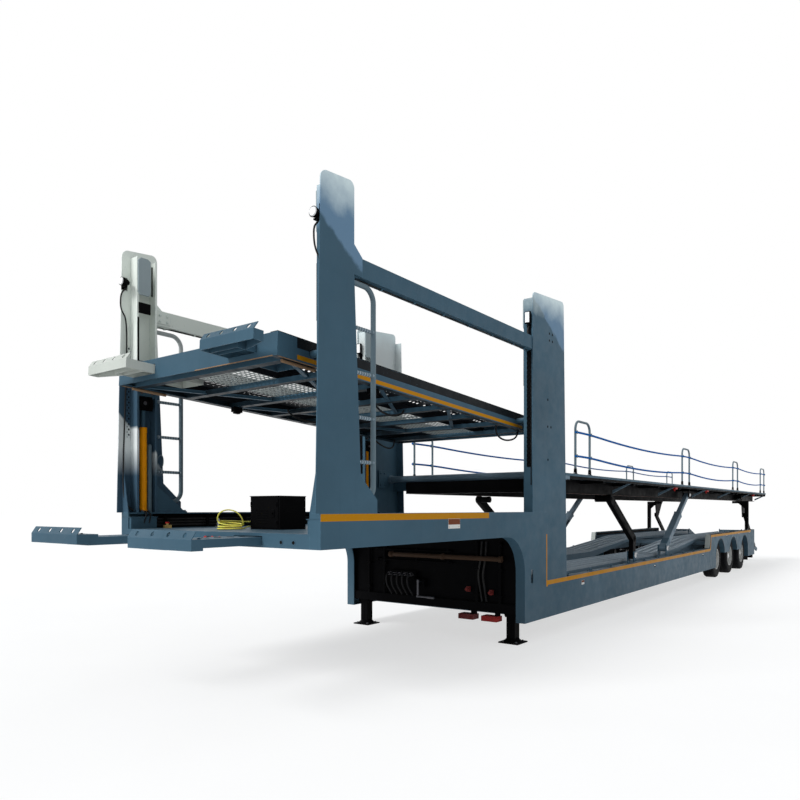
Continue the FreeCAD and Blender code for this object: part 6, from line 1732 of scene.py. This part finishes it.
def bumper_trim():
    """End caps, rubber strip and bolts of the rear bumper."""
    piece = Piece("bumper_strip", "hose")
    bolts = Piece("bumper_bolts", "zinc")
    s = FRAME_END + 0.09
    piece.slab(s - 0.08, s - 0.01, 0.06, 0.052, 0.212, 0.308)
    bolts.studs([(s, t, z) for t in (0.34, 0.38) for z in (0.23, 0.29)], -FORWARD, 0.011, 0.008)
    bolts.studs([(s - 0.01, t, z) for z in (0.37, 0.5, 0.58) for t in (0.335, 0.385)], -FORWARD, 0.009, 0.007)
    piece.block(at(s, 0.42, 0.245), at(s + 0.006, 2 * HALF - 0.42, 0.275))
    close(0.002, piece)
    close(0.001, bolts)


def rear_ramp_dressing():
    """Ribbed treads on the rungs and bolts on the beams of the rear ramps, built level and then sloped."""
    slope = Matrix.Rotation(math.radians(-15), 3, "Y")
    hinge_s, rungs = 16.56, 16
    pivot = Vector((FRONT - hinge_s, 0.0, 0.88))
    pitch = (2.3025 - 0.1) / (rungs - 1)
    for side, word in SIDE_WORDS:
        piece = Piece("rear_ramp_treads_" + word, "zinc", "rear_ramp_" + word)
        for index in range(rungs):
            s = hinge_s + 0.06 + index * pitch
            for rib in range(13):
                t = 0.35 + rib * 0.04
                piece.block(at(s + 0.006, t, 0.94, side), at(s + 0.034, t + 0.012, 0.944, side))
        for s in (16.75, 17.3, 17.9, 18.5):
            for t, way in ((0.33, side), (0.89, -side)):
                piece.bolt(at(s, t, 0.90, side), outboard(way), 0.010, 0.007)
        for vert in piece.bm.verts:
            vert.co = pivot + slope @ (vert.co - pivot)
        close(0.0006, piece)


def rest_post_pads():
    """Foot plates, gussets and bolts of the stands on the wheel covers."""
    piece = Piece("rest_post_gussets", "black")
    bolts = Piece("rest_post_bolts", "zinc")
    s0, s1, low, high = reach("rest_posts")
    top = low + 0.010
    piece.slab(s0 - 0.04, s1 + 0.04, 0.004, 0.105, low, top)
    for edge, way in ((s1, 0.04), (s0, -0.04)):
        piece.plate([(edge, top), (edge + way, top), (edge, low + 0.12)], 0.05, 0.01)
    s = s0 + 0.035
    for side in SIDES:
        piece.prism(path(side, (s, 0.095, high - 0.06), (s, 0.095, high - 0.2), (s, 0.25, high - 0.06)),
                    -FORWARD * 0.01)
    bolts.studs([(s, t, top) for s in (s0 - 0.025, s1 + 0.025) for t in (0.03, 0.085)], UP, 0.009, 0.007)
    close(0.0015, piece)
    close(0.001, bolts)


def kingpin_bolts():
    """Two rings of countersunk bolts in the rubbing plate."""
    piece = Piece("kingpin_bolts", "zinc")
    for ring, count, radius in ((0.13, 8, 0.012), (0.36, 12, 0.010)):
        for angle in turns(count):
            place = Vector((FRONT - 1.3 + ring * math.cos(angle), ring * math.sin(angle), SILL_LOW))
            piece.rod(place + UP * 0.001, place - UP * 0.002, radius, 18, radius * 0.8)
            piece.rod(place - UP * 0.002, place - UP * 0.004, radius * 0.5, 6)
    close(0.0, piece)


for dress in (supply_lead, racks, guide_covers, post_lamps, cylinder_dressing, guide_bars, post_feet,
              neck_holes, top_beam_joints, carriage_dressing, ladder_clamps, sill_trim, coupling_board,
              cabinet_dressing, inner_face_shade_trays, upper_plates, upper_braces, upper_edge, upper_hoses,
              ramp_dressing, bulkhead_pipes, bulkhead_hoses, leg_dressing, frame_ribs, cover_trim,
              slant_plates, track_treads, rear_plates, walkway_brackets, rear_edge, cross_tube,
              guard_ropes, hoop_feet, pin_caps, strut_dressing, arm_dressing, leg_ends, wheels,
              spring_dressing, brake_gear, air_tanks, mud_flaps, tail_lamps, bumper_trim,
              rear_ramp_dressing, rest_post_pads, kingpin_bolts):
    dress()
